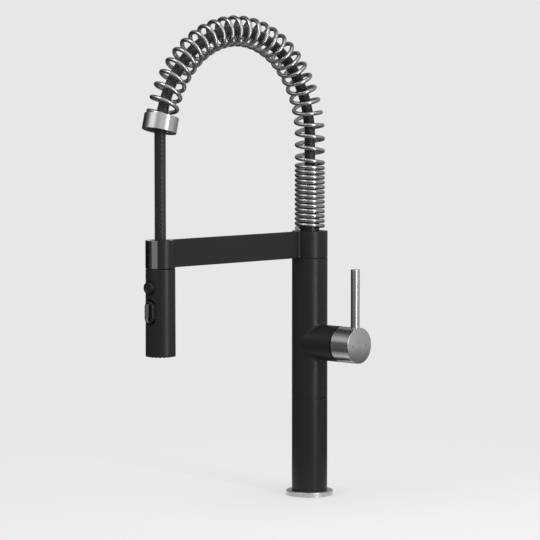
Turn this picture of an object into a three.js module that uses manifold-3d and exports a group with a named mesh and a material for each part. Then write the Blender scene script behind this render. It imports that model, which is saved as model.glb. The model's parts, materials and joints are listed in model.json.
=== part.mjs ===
// Single-lever kitchen faucet with a spring arch, a docking arm and a pull-down hand spray.
//
// Units are millimetres and +Z is up. The origin is the centre of the deck hole on the worktop's top
// face. The arm reaches towards -Y and the handle stands on the +X side.

import * as THREE from 'three';
import { mergeVertices } from 'three/addons/utils/BufferGeometryUtils.js';
import Module from 'manifold-3d';

const wasm = await Module();
wasm.setup();

// ---------------------------------------------------------------- driving dimensions

// Clearances
const slip = 0.3; // between two pieces that fit in or rest against one another
const closeFit = 0.15; // round the lever, which is pressed into the cap
const seam = 0.4; // the dark line between two turned lengths of the column
const past = 1; // how far a cut, or a solid that is joined on, runs past the face it crosses

// Roundness: how many sides a circle gets
const columnSides = 40;
const mediumSides = 20;
const smallSides = 16;
const tinySides = 8;
const hoseSides = 10;
const nozzleSides = 6;

// Base and deck fixing
const flangeRadius = 25;
const flangeThickness = 5.3;
const flangeEdge = 0.8; // chamfer on the flange's top edge
const gasketGroove = { inner: 19.5, outer: 23.5, depth: 1.6 };
const deckThickness = 30; // the worktop that the fixing is drawn up against
const jackGap = 3; // the jack screws push the clamp washer this far off the nut
const shankRadius = 16;
const shankWall = 2.5;
const shankBelowDeck = 62;
const shankInColumn = 18;
const clampRadius = 26;
const clampGasketThickness = 2.5;
const clampWasherThickness = 2.5;
const nutAcrossFlats = 46;
const nutHeight = 12;
const jackScrewRadius = 2.2;
const jackScrewOffset = 21; // from the shank's axis
const jackScrewHead = { radius: 3.6, height: 4 };

// Column
const columnRadius = 19;
const columnEdge = 0.35; // chamfer at each seam
const lowerSeamHeight = 105.2;
const upperSeamHeight = 255.1;
const nippleLength = 20;
const nippleWall = 3;

// Water ways
const supplyTubeRadius = 5;
const supplyTubeWall = 1;
const supplyTubeEdge = 0.3;
const supplyTubeSpacing = 15; // between the hot and the cold tube's axes
const supplyTubeTop = 150;
const supplyPassage = 8; // the passage carried on above each tube
const supplyTailLength = 26; // how far the tubes hang below the shank
const outletRadius = 6;

// Side boss and mixer
const handleHeight = 165;
const bossRadius = 19;
const bossReach = 44; // from the column's axis to the boss's end face
const bossFillet = 3; // where the boss runs into the column
const cartridgeRadius = 14.1;
const cartridgeLength = 33;
const cartridgeEdge = 0.5;
const cartridgeBase = 13.6; // solid plastic behind the discs
const cupRadius = 11.3; // the cartridge's inner bore
const discThickness = 3.6;
const discPocket = { depth: 2.4, clearance: 1.2 }; // where the stem's tail drives the disc
const carrierThickness = 3.4;
const cartridgeNutLength = 5;
const cartridgeNutBore = 10;
const bonnetRadius = 16.5;
const bonnetBore = 12;
const bonnetDepth = 2.7; // how deep the black ring sits in the boss
const bonnetProud = 1.8; // how far it stands out
const pivotInset = 3.4; // from the cartridge's front to the handle's tilt pin
const tiltLimit = 20; // degrees
const pinRadius = 1.5;
const pinInset = 0.1; // the pin's ends lie this far inside the ears
const earGap = 9.6; // between the carrier's two ears
const earThickness = 3.5;
const earWidth = 7;
const stemWidth = 6.4;
const stemDepth = 7.8;
const stemFromFace = 5.6; // from the cap's end face to the stem's end
const eyeClearance = 0.4; // between the stem's eye and each ear
const tailRadius = 1.8;
const tailDrop = 8; // from the tilt pin to where the tail drives the moving disc
const tailReach = 1.6; // the tail's length beyond that
const tailEdge = 0.6;
const tailClearance = 0.5; // round the tail where it passes the carrier

// Handle
const handleGap = 2.3; // the shadow line between boss and cap
const capLength = 24.3;
const capWall = 1.5;
const capFloor = 10.6; // solid metal behind the end face
const capEdge = 0.4;
const hubRadius = 7;
const hubLength = 8;
const leverRadius = 4.7;
const leverTop = 245.4;
const leverSeat = 9.3; // from the cap's axis to the lever's lower end
const leverFromFace = 6.2; // from the cap's end face to the lever's axis
const leverEdge = 0.5;
const grubScrewRadius = 2.3;
const grubScrewLength = 9;
const grubScrewFromFace = 7; // from the cap's end face to the screw's axis
const grubScrewEdge = 0.3;
const grubScrewKey = { radius: 1.3, depth: 2.5 };

// Docking arm
const armHeight = 28.2;
const armThickness = 5;
const armReach = 224; // from the column's axis to the hand spray's axis
const armFillet = 2.2;
const neckRadius = 12.5;
const neckTop = 26.8; // above the upper seam
const armNutInset = 0.5; // the nut's top lies this far below the neck's
const bushWall = 1.7;
const bushLength = 20;
const ringSection = 1; // radius of an O-ring's round section
const ringHeights = [7, 15]; // of the two O-rings, above the upper seam
const ringGrooveDepth = 2.2;
const ringLift = 0.1; // between a ring and its groove's floor
const dockRadius = 15.1;
const dockWall = 2.6;
const dockGapAngle = 38; // half of the liner's key, in degrees
const dockGapClearance = 1; // degrees between the key and either end of the ring
const linerWall = 1.3;

// Spring arch
const wireRadius = 2.2;
const springRadius = 16.15; // outside
const straightTop = 380.5; // where the hose starts to bend
const collarLead = 2.5; // the end collar's top stands this far inside the hand spray's axis
const archRise = 113.6;
const archAngle = 165.9; // degrees of the ellipse, from the column to the end collar
const closeGap = 0.72; // between the wires of neighbouring turns where the coil is close
const closeTurns = 13.28;
const pitchRampTurns = 0.5;
const openPitch = 13.07;
const springStart = -125; // degrees, where the lowest turn starts
const springSteps = 8; // per turn
const springSides = 5;
const seatLength = 18;
const seatEdge = 1;
const hoseRadius = 5.75;
const hoseStart = 3; // above the arm's top, inside the spring seat
const hoseSteps = 34;

// End collar
const collarRadius = 17.55;
const collarLength = 16.1;
const collarWall = 1.15;
const collarEdge = 0.4;
const springInCollar = 4.3;
const hoseInCollar = 6.2;
const insertPlate = 4.5;
const sleeveWall = 1.6;
const sleeveLength = 5;
const sleeveCover = 1.5; // how far the sleeve closes over the drop hose's end
const dropDepth = 9.6; // from the collar's top down to the drop hose's end

// Hand spray
const sprayTopInset = 0.15; // the top rim's radius is this much less than the docking ring's
const sprayFootProud = 0.05; // and the foot's this much more
const sprayLength = 88.2;
const sprayWall = 2.2;
const sprayRoof = 5;
const sprayTopEdge = 0.4;
const sprayFootEdge = 0.3;
const spigotLength = 17;
const spigotStem = 6;
const spigotTail = 3; // how far the stem reaches below the roof
const spigotTaper = { length: 4, depth: 1.4 };
const valvePocket = { radius: 5.3, depth: 10 };
const checkValveBore = 2;
const sprayBore = 3.2;
const sprayPassageOffset = 6; // from the spray's axis back to the water passage
const waterwayEdge = 0.5;
const frontWall = 5; // cuts through the front wall start this far from the spray's axis
const hoseNutRadius = 8.2;
const hoseNutLength = 9;
const hoseNutEdge = 0.8;
const buttonRadius = 6;
const buttonHeight = 236.2; // above the deck
const buttonProud = 3.6;
const buttonLength = 11.1; // from its face to its skirt's end
const buttonEdge = 0.9;
const buttonDish = { radius: 3.9, floor: 3, depth: 0.5 };
const buttonTravel = 2;
const buttonSlack = 0.6; // round the button in the waterway, and behind it when pressed
const buttonCavity = { radius: 5, depth: 4.6 };
const returnSpring = { outer: 4.4, inner: 2.8 };
const spoolRadius = 2;
const spoolLength = 5;
const buttonCounterbore = 0.35; // how much wider the hole in the wall is
const switchHeight = 211.6; // above the deck
const switchWidth = 12.5; // of the slot in the wall
const switchLength = 26.4;
const trackDepth = 3.35; // from the spray's wall down to the track
const trackThickness = 1.2;
const sliderWidth = 11.6;
const sliderLength = 22.4;
const sliderTravel = 1.8; // each way from the middle
const sliderProud = 2.25;
const sliderEdge = 0.5;
const sliderStem = { width: 2, length: 4.4, reach: 2 };
const stemSlotSlack = { across: 1.6, along: 3 };
const gripProud = 2.2; // above the slide's face
const gripPocket = 0.6; // how deep the grip sits in the slide
const gripTop = 8.2; // above the slide's middle
const gripBottom = -10.4;
const gripPad = { halfWidth: 2.35, bottom: -4.2 };
const gripTail = { halfWidth: 1.5, top: -5.2, tip: 0.5, point: 1.2, fall: 1.4 };
const gripRibs = 3;
const gripRibPitch = 3.8;
const gripRibDepth = 0.5;
const faceThickness = 3;
const faceInset = 1.2;
const nozzleInset = 2.35; // from the shell's bore in to the nozzles' circle
const nozzleCount = 15;
const nozzleRadius = 0.95;
const nozzleProud = 1; // below the spray's rim
const nozzleTaper = 0.3;
const nozzleRoot = 0.5; // how far each nozzle runs into its plate
const platePad = 1.6; // thickness of the nozzle plate
const aeratorRadius = 7;
const aeratorCavity = 14; // from the nozzle plate up to the waterway body
const aeratorInset = 0.6;
const aeratorEdge = 0.5;
const screenHole = { half: 0.7, pitch: 3 };

// ---------------------------------------------------------------- shared values

const columnBore = shankRadius + slip;
const mouth = bossReach + handleGap; // the cap's open edge, from the column's axis
const capFace = mouth + capLength;
const stemEnd = capFace - stemFromFace;
const cartridgeFront = bossReach - bonnetDepth - 2 * slip - cartridgeNutLength - slip;
const cartridgeStart = cartridgeFront - cartridgeLength;
const cupFloor = cartridgeStart + cartridgeBase;
const tiltPivot = cartridgeFront - pivotInset; // from the column's axis
const carrierFloor = cupFloor + slip + 2 * discThickness + 2 * slip;
const armBottom = upperSeamHeight + seam / 2;
const armTop = armBottom + armHeight;
const bodyTop = upperSeamHeight - seam / 2;
const sprayTop = bodyTop - seam / 2;
const sprayFoot = sprayTop - sprayLength;
const archHalfWidth = (armReach - collarLead) / (1 - Math.cos(THREE.MathUtils.degToRad(archAngle)));
const closePitch = 2 * wireRadius + closeGap;
const coilRadius = springRadius - wireRadius;
const coilChord = Math.cos(Math.PI / springSteps); // a polygon's flats lie nearer its centre
const insideSpring = coilRadius * coilChord - wireRadius - slip;
const spoutBore = neckRadius + slip + bushWall + slip; // the arm collar's bore
const ringGrooveFloor = neckRadius - ringGrooveDepth;
const dockBore = dockRadius - dockWall;
const spigotRadius = dockBore - linerWall - 2 * slip;
const sprayTopRadius = dockRadius - sprayTopInset;
const sprayFootRadius = dockRadius + sprayFootProud;
const shellBore = sprayTopRadius - sprayWall;
const trackFloor = sprayTopRadius - trackDepth;
const sliderCrown = sprayTopRadius + sliderProud;
const nozzleCircle = shellBore - nozzleInset;

// ---------------------------------------------------------------- materials

function finish(color, roughness, metalness) {
	return new THREE.MeshStandardMaterial({ color, roughness, metalness });
}

const matteBlack = finish(0x2a2a2b, 0.55, 0.2);
const glossBlack = finish(0x0b0b0c, 0.12, 0);
const brushedSteel = finish(0xb4b5b6, 0.32, 1);
const springSteel = finish(0xc2c2c2, 0.22, 1);
const blackHose = finish(0x161617, 0.6, 0);
const blackRubber = finish(0x121212, 0.8, 0);
const blackPlastic = finish(0x1b1b1c, 0.5, 0);
const greyPlastic = finish(0x9a9a9a, 0.5, 0);
const whitePlastic = finish(0xd8d8d4, 0.5, 0);
const brass = finish(0xb08d4c, 0.35, 1);
const ceramic = finish(0xe6e2da, 0.3, 0);

// ---------------------------------------------------------------- solids from three.js geometry

// A closed solid from a geometry, with its faces turned outwards.
function solidFrom(geometry) {
	const bare = geometry.index ? geometry.toNonIndexed() : geometry.clone();
	bare.deleteAttribute('normal');
	bare.deleteAttribute('uv');
	const merged = mergeVertices(bare, 1e-4);
	const corners = merged.index.array;
	const triangles = [];
	for (let i = 0; i < corners.length; i += 3) {
		const [a, b, c] = corners.slice(i, i + 3);
		if (a !== b && b !== c && c !== a) triangles.push(a, b, c);
	}
	const points = merged.attributes.position.array;
	if (signedVolume(points, triangles) < 0) triangles.reverse();
	return new wasm.Manifold(new wasm.Mesh({
		numProp: 3,
		vertProperties: Float32Array.from(points),
		triVerts: Uint32Array.from(triangles),
	}));
}

function signedVolume(points, triangles) {
	const corner = (index) => new THREE.Vector3().fromArray(points, 3 * index);
	let volume = 0;
	for (let i = 0; i < triangles.length; i += 3) {
		const [a, b, c] = triangles.slice(i, i + 3).map(corner);
		volume += a.dot(b.cross(c)) / 6;
	}
	return volume;
}

// A named mesh from a solid.
function piece(name, solid, material) {
	const made = solid.getMesh();
	const geometry = new THREE.BufferGeometry();
	geometry.setAttribute('position', new THREE.BufferAttribute(made.vertProperties, 3));
	geometry.setIndex(new THREE.BufferAttribute(made.triVerts, 1));
	geometry.computeVertexNormals();
	const mesh = new THREE.Mesh(geometry, material);
	mesh.name = name;
	return mesh;
}

// Turns a profile of [radius, height] points round the Z axis.
function revolve(profile, sides) {
	const points = profile.map(([radius, height]) => new THREE.Vector2(radius, height));
	if (profile[0][0] > 0) points.push(points[0].clone());
	const geometry = new THREE.LatheGeometry(points, sides);
	geometry.rotateX(Math.PI / 2);
	return solidFrom(geometry);
}

function rod(radius, bottom, top, sides, edge = 0) {
	return revolve([
		[0, bottom],
		[radius - edge, bottom],
		[radius, bottom + edge],
		[radius, top - edge],
		[radius - edge, top],
		[0, top],
	], sides);
}

function tube(outer, inner, bottom, top, sides, edge = 0) {
	return revolve([
		[inner, bottom],
		[outer - edge, bottom],
		[outer, bottom + edge],
		[outer, top - edge],
		[outer - edge, top],
		[inner, top],
	], sides);
}

// A block between two opposite corners.
function block(low, high) {
	const size = high.map((value, i) => value - low[i]);
	const geometry = new THREE.BoxGeometry(...size);
	geometry.translate(...high.map((value, i) => (value + low[i]) / 2));
	return solidFrom(geometry);
}

function extrude(outline, bottom, height, holes = []) {
	const shape = new THREE.Shape(outline);
	for (const hole of holes) shape.holes.push(new THREE.Path(hole));
	const geometry = new THREE.ExtrudeGeometry(shape, { depth: height, bevelEnabled: false });
	geometry.translate(0, 0, bottom);
	return solidFrom(geometry);
}

// Points of an arc in the XY plane, from one angle to another in degrees.
function arc(x, y, radius, from, to, steps) {
	return Array.from({ length: steps + 1 }, (_, i) => {
		const angle = THREE.MathUtils.degToRad(THREE.MathUtils.lerp(from, to, i / steps));
		return new THREE.Vector2(x + radius * Math.cos(angle), y + radius * Math.sin(angle));
	});
}

function moved(solid, matrix) {
	return solid.transform(matrix.toArray());
}

function turned(axis, degrees) {
	return new THREE.Matrix4().makeRotationAxis(axis, THREE.MathUtils.degToRad(degrees));
}

function shifted(x, y, z) {
	return new THREE.Matrix4().makeTranslation(x, y, z);
}

const xAxis = new THREE.Vector3(1, 0, 0);
const yAxis = new THREE.Vector3(0, 1, 0);

// A rod along Y, between two places on that axis.
function crossRod(radius, from, to, height, sides, edge = 0) {
	const upright = rod(radius, -to, -from, sides, edge);
	return moved(upright, shifted(0, 0, height).multiply(turned(xAxis, 90)));
}

// A closed tube whose section's rings lie round given centres. Each centre comes with the direction
// of its first corner and with the tangent.
function tubeThrough(rings, radius, sides) {
	const points = [];
	const triangles = [];
	for (const { centre, outwards, tangent } of rings) {
		const sideways = new THREE.Vector3().crossVectors(tangent, outwards).normalize();
		for (let j = 0; j < sides; j++) {
			const angle = 2 * Math.PI * j / sides;
			const corner = centre.clone()
				.addScaledVector(outwards, radius * Math.cos(angle))
				.addScaledVector(sideways, radius * Math.sin(angle));
			points.push(...corner);
		}
	}
	const last = (rings.length - 1) * sides;
	for (let i = 0; i < last; i += sides) {
		for (let j = 0; j < sides; j++) {
			const next = (j + 1) % sides;
			triangles.push(i + j, i + next, i + sides + next);
			triangles.push(i + j, i + sides + next, i + sides + j);
		}
	}
	for (let j = 1; j < sides - 1; j++) {
		triangles.push(0, j + 1, j);
		triangles.push(last, last + j, last + j + 1);
	}
	const geometry = new THREE.BufferGeometry();
	geometry.setAttribute('position', new THREE.Float32BufferAttribute(points, 3));
	geometry.setIndex(triangles);
	return solidFrom(geometry);
}

// ---------------------------------------------------------------- base and deck fixing

function baseFlange() {
	const groove = gasketGroove;
	return revolve([
		[columnBore, 0],
		[groove.inner, 0],
		[groove.inner, groove.depth],
		[groove.outer, groove.depth],
		[groove.outer, 0],
		[flangeRadius, 0],
		[flangeRadius, flangeThickness - flangeEdge],
		[flangeRadius - flangeEdge, flangeThickness],
		[columnBore, flangeThickness],
	], columnSides);
}

function deckGasket() {
	const { inner, outer, depth } = gasketGroove;
	return tube(outer - slip, inner + slip, 0, depth - slip, mediumSides);
}

function mountingShank() {
	const top = flangeThickness + shankInColumn;
	return tube(shankRadius, shankRadius - shankWall, -shankBelowDeck, top, mediumSides);
}

function clampRing(top, thickness) {
	return tube(clampRadius, columnBore, top - thickness, top, mediumSides);
}

const clampGasketTop = -deckThickness;
const clampWasherTop = clampGasketTop - clampGasketThickness;
const nutTop = clampWasherTop - clampWasherThickness - jackGap;

function mountingNut() {
	const cornerRadius = nutAcrossFlats / 2 / Math.cos(Math.PI / 6);
	const hexagon = arc(0, 0, cornerRadius, 0, 300, 5);
	const bore = arc(0, 0, columnBore, 0, 360, mediumSides).slice(1);
	let nut = extrude(hexagon, nutTop - nutHeight, nutHeight, [bore]);
	for (const side of [1, -1]) {
		const hole = rod(jackScrewRadius + slip, nutTop - nutHeight - past, nutTop + past, tinySides);
		nut = nut.subtract(moved(hole, shifted(side * jackScrewOffset, 0, 0)));
	}
	return nut;
}

function jackScrew() {
	const { radius, height } = jackScrewHead;
	const under = nutTop - nutHeight - slip;
	const tip = clampWasherTop - clampWasherThickness;
	return revolve([
		[0, under - height],
		[radius, under - height],
		[radius, under],
		[jackScrewRadius, under],
		[jackScrewRadius, tip],
		[0, tip],
	], tinySides);
}

// ---------------------------------------------------------------- column

function baseColumn() {
	const top = lowerSeamHeight - seam / 2;
	return tube(columnRadius, columnBore, flangeThickness, top, columnSides, columnEdge);
}

function joiningNipple() {
	const bottom = lowerSeamHeight - nippleLength / 2;
	const inner = shankRadius - nippleWall;
	return tube(shankRadius, inner, bottom, bottom + nippleLength, mediumSides);
}

function supplyTube() {
	const bottom = -shankBelowDeck - supplyTailLength;
	const inner = supplyTubeRadius - supplyTubeWall;
	return tube(supplyTubeRadius, inner, bottom, supplyTubeTop, smallSides, supplyTubeEdge);
}

// The boss along Z from the column's axis, flared at its root by a rolling-ball fillet. Round the
// boss, at each angle, the column's wall is the curve depth(radius), and the ball touches both.
function flaredBoss() {
	const around = columnSides;
	const filletSteps = 4;
	const halvings = 40;
	const sunk = 1.2; // how far the flare's edge is carried under the column's wall
	const rings = [];
	for (let i = 0; i < around; i++) {
		const angle = 2 * Math.PI * (i + 0.5) / around;
		const sideways = Math.sin(angle) ** 2;
		const depth = (radius) => Math.sqrt(Math.max(columnRadius ** 2 - sideways * radius ** 2, 0));
		const normal = (radius) => {
			const along = depth(radius);
			const out = sideways * radius;
			const length = Math.hypot(along, out);
			return [along / length, out / length];
		};
		let low = bossRadius;
		let high = bossRadius + bossFillet;
		for (let step = 0; step < halvings; step++) {
			const middle = (low + high) / 2;
			const reach = middle + bossFillet * normal(middle)[1];
			if (reach < bossRadius + bossFillet) low = middle;
			else high = middle;
		}
		const [along, out] = normal(low);
		const centre = [depth(low) + bossFillet * along, bossRadius + bossFillet];
		const from = Math.atan2(-out, -along);
		const stations = [[depth(low) - sunk * along, low - sunk * out]];
		for (let step = 0; step <= filletSteps; step++) {
			const turn = THREE.MathUtils.lerp(from, -Math.PI / 2, step / filletSteps);
			stations.push([
				centre[0] + bossFillet * Math.cos(turn),
				centre[1] + bossFillet * Math.sin(turn),
			]);
		}
		stations.push([bossReach - columnEdge, bossRadius]);
		stations.push([bossReach, bossRadius - columnEdge]);
		rings.push(stations.map(([z, radius]) => [
			radius * Math.cos(angle), radius * Math.sin(angle), z,
		]));
	}
	return loft(rings);
}

// A closed solid between neighbouring rows of points that go round an axis, with a flat fan at
// either end.
function loft(rows) {
	const perRow = rows[0].length;
	const points = rows.flat(2);
	const ends = [0, perRow - 1].map((place) => {
		const middle = new THREE.Vector3();
		for (const row of rows) middle.add(new THREE.Vector3(...row[place]));
		middle.divideScalar(rows.length);
		points.push(...middle);
		return points.length / 3 - 1;
	});
	const triangles = [];
	for (let i = 0; i < rows.length; i++) {
		const here = i * perRow;
		const next = ((i + 1) % rows.length) * perRow;
		for (let j = 0; j < perRow - 1; j++) {
			triangles.push(here + j, next + j, next + j + 1);
			triangles.push(here + j, next + j + 1, here + j + 1);
		}
		triangles.push(ends[0], next, here);
		triangles.push(ends[1], here + perRow - 1, next + perRow - 1);
	}
	const geometry = new THREE.BufferGeometry();
	geometry.setAttribute('position', new THREE.Float32BufferAttribute(points, 3));
	geometry.setIndex(triangles);
	return solidFrom(geometry);
}

// From the mixer's frame, whose Z axis runs out along the boss, to the faucet's.
const mixerFrame = shifted(0, 0, handleHeight).multiply(turned(yAxis, 90));

function valveBody() {
	const bottom = lowerSeamHeight + seam / 2;
	const profile = [
		[0, bottom],
		[columnRadius - columnEdge, bottom],
		[columnRadius, bottom + columnEdge],
		[columnRadius, bodyTop - columnEdge],
		[columnRadius - columnEdge, bodyTop],
		[0, bodyTop],
	];
	const pocketRadius = cartridgeRadius + slip;
	const pocket = rod(pocketRadius, cartridgeStart - slip, bossReach + past, mediumSides);
	const counterbore = rod(
		bonnetRadius + slip, bossReach - bonnetDepth - slip, bossReach + past, mediumSides,
	);
	const outlet = rod(outletRadius, handleHeight, upperSeamHeight + neckTop + past, smallSides);
	const socketTop = lowerSeamHeight + nippleLength / 2 + slip;
	let body = revolve(profile, columnSides)
		.add(neck())
		.add(moved(flaredBoss(), mixerFrame))
		.subtract(moved(pocket.add(counterbore), mixerFrame))
		.subtract(outlet)
		.subtract(rod(columnBore, bottom - past, socketTop, mediumSides));
	for (const side of [1, -1]) {
		const passageTop = supplyTubeTop + supplyPassage;
		const bore = rod(supplyTubeRadius + slip, socketTop - past, passageTop, smallSides);
		body = body.subtract(moved(bore, shifted(0, side * supplyTubeSpacing / 2, 0)));
	}
	return body;
}

// The neck that the arm turns on, with a groove for each O-ring.
function neck() {
	const profile = [[0, bodyTop - past], [neckRadius, bodyTop - past]];
	for (const height of ringHeights) {
		const middle = upperSeamHeight + height;
		const half = ringSection + slip / 2;
		profile.push([neckRadius, middle - half], [ringGrooveFloor, middle - half]);
		profile.push([ringGrooveFloor, middle + half], [neckRadius, middle + half]);
	}
	profile.push([neckRadius, upperSeamHeight + neckTop], [0, upperSeamHeight + neckTop]);
	return revolve(profile, mediumSides);
}

function swivelRing(height) {
	const middle = ringGrooveFloor + ringLift + ringSection;
	const section = arc(middle, upperSeamHeight + height, ringSection, 0, 300, 5);
	return revolve(section.map((point) => [point.x, point.y]), mediumSides);
}

function armNut() {
	const bottom = armBottom + bushLength + slip;
	const top = upperSeamHeight + neckTop - armNutInset;
	return tube(spoutBore - slip, neckRadius + slip, bottom, top, mediumSides);
}

// ---------------------------------------------------------------- mixer, in its own frame

function cartridgeBody() {
	return revolve([
		[0, cartridgeStart],
		[cartridgeRadius - cartridgeEdge, cartridgeStart],
		[cartridgeRadius, cartridgeStart + cartridgeEdge],
		[cartridgeRadius, cartridgeFront],
		[cupRadius, cartridgeFront],
		[cupRadius, cupFloor],
		[0, cupFloor],
	], mediumSides);
}

function fixedDisc() {
	const bottom = cupFloor + slip;
	return rod(cupRadius - slip, bottom, bottom + discThickness, mediumSides);
}

function movingDisc() {
	const bottom = cupFloor + 2 * slip + discThickness;
	const slide = tailDrop * Math.sin(THREE.MathUtils.degToRad(tiltLimit));
	const top = bottom + discThickness;
	const pocketRadius = tailRadius + discPocket.clearance;
	const pocket = rod(pocketRadius, top - discPocket.depth, top + past, smallSides);
	return rod(cupRadius - slip - slide, bottom, top - slip, mediumSides).subtract(pocket);
}

function stemCarrier() {
	const top = carrierFloor + carrierThickness;
	const swing = tailDrop * Math.tan(THREE.MathUtils.degToRad(tiltLimit));
	const holeRadius = swing + tailRadius + tailClearance;
	let carrier = tube(cupRadius - slip, holeRadius, carrierFloor, top, mediumSides);
	for (const side of [1, -1]) {
		const near = side * earGap / 2;
		const far = side * (earGap / 2 + earThickness);
		const ear = block(
			[-earWidth / 2, Math.min(near, far), top - past],
			[earWidth / 2, Math.max(near, far), tiltPivot + earWidth / 2],
		);
		carrier = carrier.add(ear);
	}
	const across = earGap / 2 + earThickness + past;
	return carrier.subtract(crossRod(pinRadius + slip, -across, across, tiltPivot, tinySides));
}

function stemPin() {
	const half = earGap / 2 + earThickness - pinInset;
	return crossRod(pinRadius, -half, half, tiltPivot, tinySides);
}

function cartridgeStem() {
	const eyeRadius = earWidth / 2;
	const eyeHalf = earGap / 2 - eyeClearance;
	const tailTip = tiltPivot - tailDrop - tailReach;
	const shaft = block(
		[-stemWidth / 2, -stemDepth / 2, tiltPivot],
		[stemWidth / 2, stemDepth / 2, stemEnd],
	);
	const tail = rod(tailRadius, tailTip, tiltPivot, tinySides, tailEdge);
	const bore = crossRod(pinRadius + slip, -eyeHalf - past, eyeHalf + past, tiltPivot, tinySides);
	return crossRod(eyeRadius, -eyeHalf, eyeHalf, tiltPivot, smallSides)
		.add(shaft)
		.add(tail)
		.subtract(bore);
}

function cartridgeNut() {
	const bottom = cartridgeFront + slip;
	return tube(cartridgeRadius, cartridgeNutBore, bottom, bottom + cartridgeNutLength, mediumSides);
}

function bonnetRing() {
	const bottom = bossReach - bonnetDepth;
	return tube(bonnetRadius, bonnetBore, bottom, bossReach + bonnetProud, mediumSides);
}

// ---------------------------------------------------------------- handle, in the mixer's frame

function handleCap() {
	const floor = capFace - capFloor;
	const inner = bossRadius - capWall;
	const shell = revolve([
		[0, floor - hubLength],
		[hubRadius, floor - hubLength],
		[hubRadius, floor],
		[inner, floor],
		[inner, mouth],
		[bossRadius - capEdge / 2, mouth],
		[bossRadius, mouth + capEdge / 2],
		[bossRadius, capFace - capEdge],
		[bossRadius - capEdge, capFace],
		[0, capFace],
	], columnSides);
	const socket = block(
		[-stemWidth / 2 - slip, -stemDepth / 2 - slip, floor - hubLength - past],
		[stemWidth / 2 + slip, stemDepth / 2 + slip, stemEnd + slip],
	);
	const leverHole = rod(leverRadius + closeFit, leverSeat - slip, bossRadius + past, smallSides);
	const screwHole = rod(grubScrewRadius + slip, stemWidth / 2, bossRadius + past, tinySides);
	return shell
		.subtract(socket)
		.subtract(moved(leverHole, upwards(leverFromFace)))
		.subtract(moved(screwHole, downwards(grubScrewFromFace)));
}

// In the mixer's frame, world up is -X. These two turn a rod along Z to point up or down there, at
// a distance behind the cap's end face.
function upwards(fromFace) {
	return shifted(0, 0, capFace - fromFace).multiply(turned(yAxis, -90));
}

function downwards(fromFace) {
	return shifted(0, 0, capFace - fromFace).multiply(turned(yAxis, 90));
}

function handleLever() {
	const top = leverTop - handleHeight;
	const lever = rod(leverRadius, leverSeat, top, smallSides, leverEdge);
	return moved(lever, upwards(leverFromFace));
}

function grubScrew() {
	const start = stemWidth / 2 + 2 * slip;
	const end = start + grubScrewLength;
	const hexagon = arc(0, 0, grubScrewKey.radius, 0, 300, 5);
	const screw = rod(grubScrewRadius, start, end, tinySides, grubScrewEdge);
	const key = extrude(hexagon, end - grubScrewKey.depth, grubScrewKey.depth + past);
	return moved(screw.subtract(key), downwards(grubScrewFromFace));
}

// ---------------------------------------------------------------- docking arm

// How many straight steps each arc of the arm and of its liner gets.
const outlineSteps = { collar: 68, fillet: 5, ring: 20, bore: 36, key: 14 };

// The arm seen from above: a collar, a flat bar and an open ring, with fillets between them.
function armOutline() {
	const half = armThickness / 2;
	const filletX = half + armFillet;
	const collarFilletY = -Math.sqrt((columnRadius + armFillet) ** 2 - filletX ** 2);
	const ringFilletY = -armReach + Math.sqrt((dockRadius + armFillet) ** 2 - filletX ** 2);
	const collarAngle = THREE.MathUtils.radToDeg(Math.atan2(collarFilletY, filletX));
	const ringAngle = THREE.MathUtils.radToDeg(Math.atan2(ringFilletY + armReach, filletX));
	const gapFrom = 270 - dockGapAngle - dockGapClearance;
	const gapTo = 270 + dockGapAngle + dockGapClearance;
	return [
		...arc(0, 0, columnRadius, collarAngle, 180 - collarAngle, outlineSteps.collar),
		...arc(-filletX, collarFilletY, armFillet, -collarAngle, 0, outlineSteps.fillet),
		...arc(-filletX, ringFilletY, armFillet, 0, -ringAngle, outlineSteps.fillet),
		...arc(0, -armReach, dockRadius, 180 - ringAngle, gapFrom, outlineSteps.ring),
		...arc(0, -armReach, dockBore, gapFrom, gapTo - 360, outlineSteps.bore),
		...arc(0, -armReach, dockRadius, gapTo, 360 + ringAngle, outlineSteps.ring),
		...arc(filletX, ringFilletY, armFillet, 180 + ringAngle, 180, outlineSteps.fillet),
		...arc(filletX, collarFilletY, armFillet, 180, 180 + collarAngle, outlineSteps.fillet),
	];
}

function dockArm() {
	const bore = arc(0, 0, spoutBore, 0, 360, mediumSides).slice(1);
	return extrude(armOutline(), armBottom, armHeight, [bore]);
}

function swivelBush() {
	const inner = neckRadius + slip;
	return tube(inner + bushWall, inner, armBottom, armBottom + bushLength, mediumSides);
}

// The liner's sleeve and, flush with the ring's outside, the key that fills the ring's gap.
function dockLiner() {
	const outer = dockBore - slip;
	const sector = [
		...arc(0, 0, dockRadius, 270 - dockGapAngle, 270 + dockGapAngle, outlineSteps.key),
		...arc(0, 0, outer - linerWall / 2, 270 + dockGapAngle, 270 - dockGapAngle, outlineSteps.key),
	];
	return tube(outer, outer - linerWall, armBottom, armTop, mediumSides)
		.add(extrude(sector, armBottom, armHeight));
}

// ---------------------------------------------------------------- spring arch

const collarTilt = Math.atan2(
	archHalfWidth * Math.sin(THREE.MathUtils.degToRad(archAngle)),
	-archRise * Math.cos(THREE.MathUtils.degToRad(archAngle)),
);
const collarTop = new THREE.Vector3(
	0,
	-archHalfWidth * (1 - Math.cos(THREE.MathUtils.degToRad(archAngle))),
	straightTop + archRise * Math.sin(THREE.MathUtils.degToRad(archAngle)),
);

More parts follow.
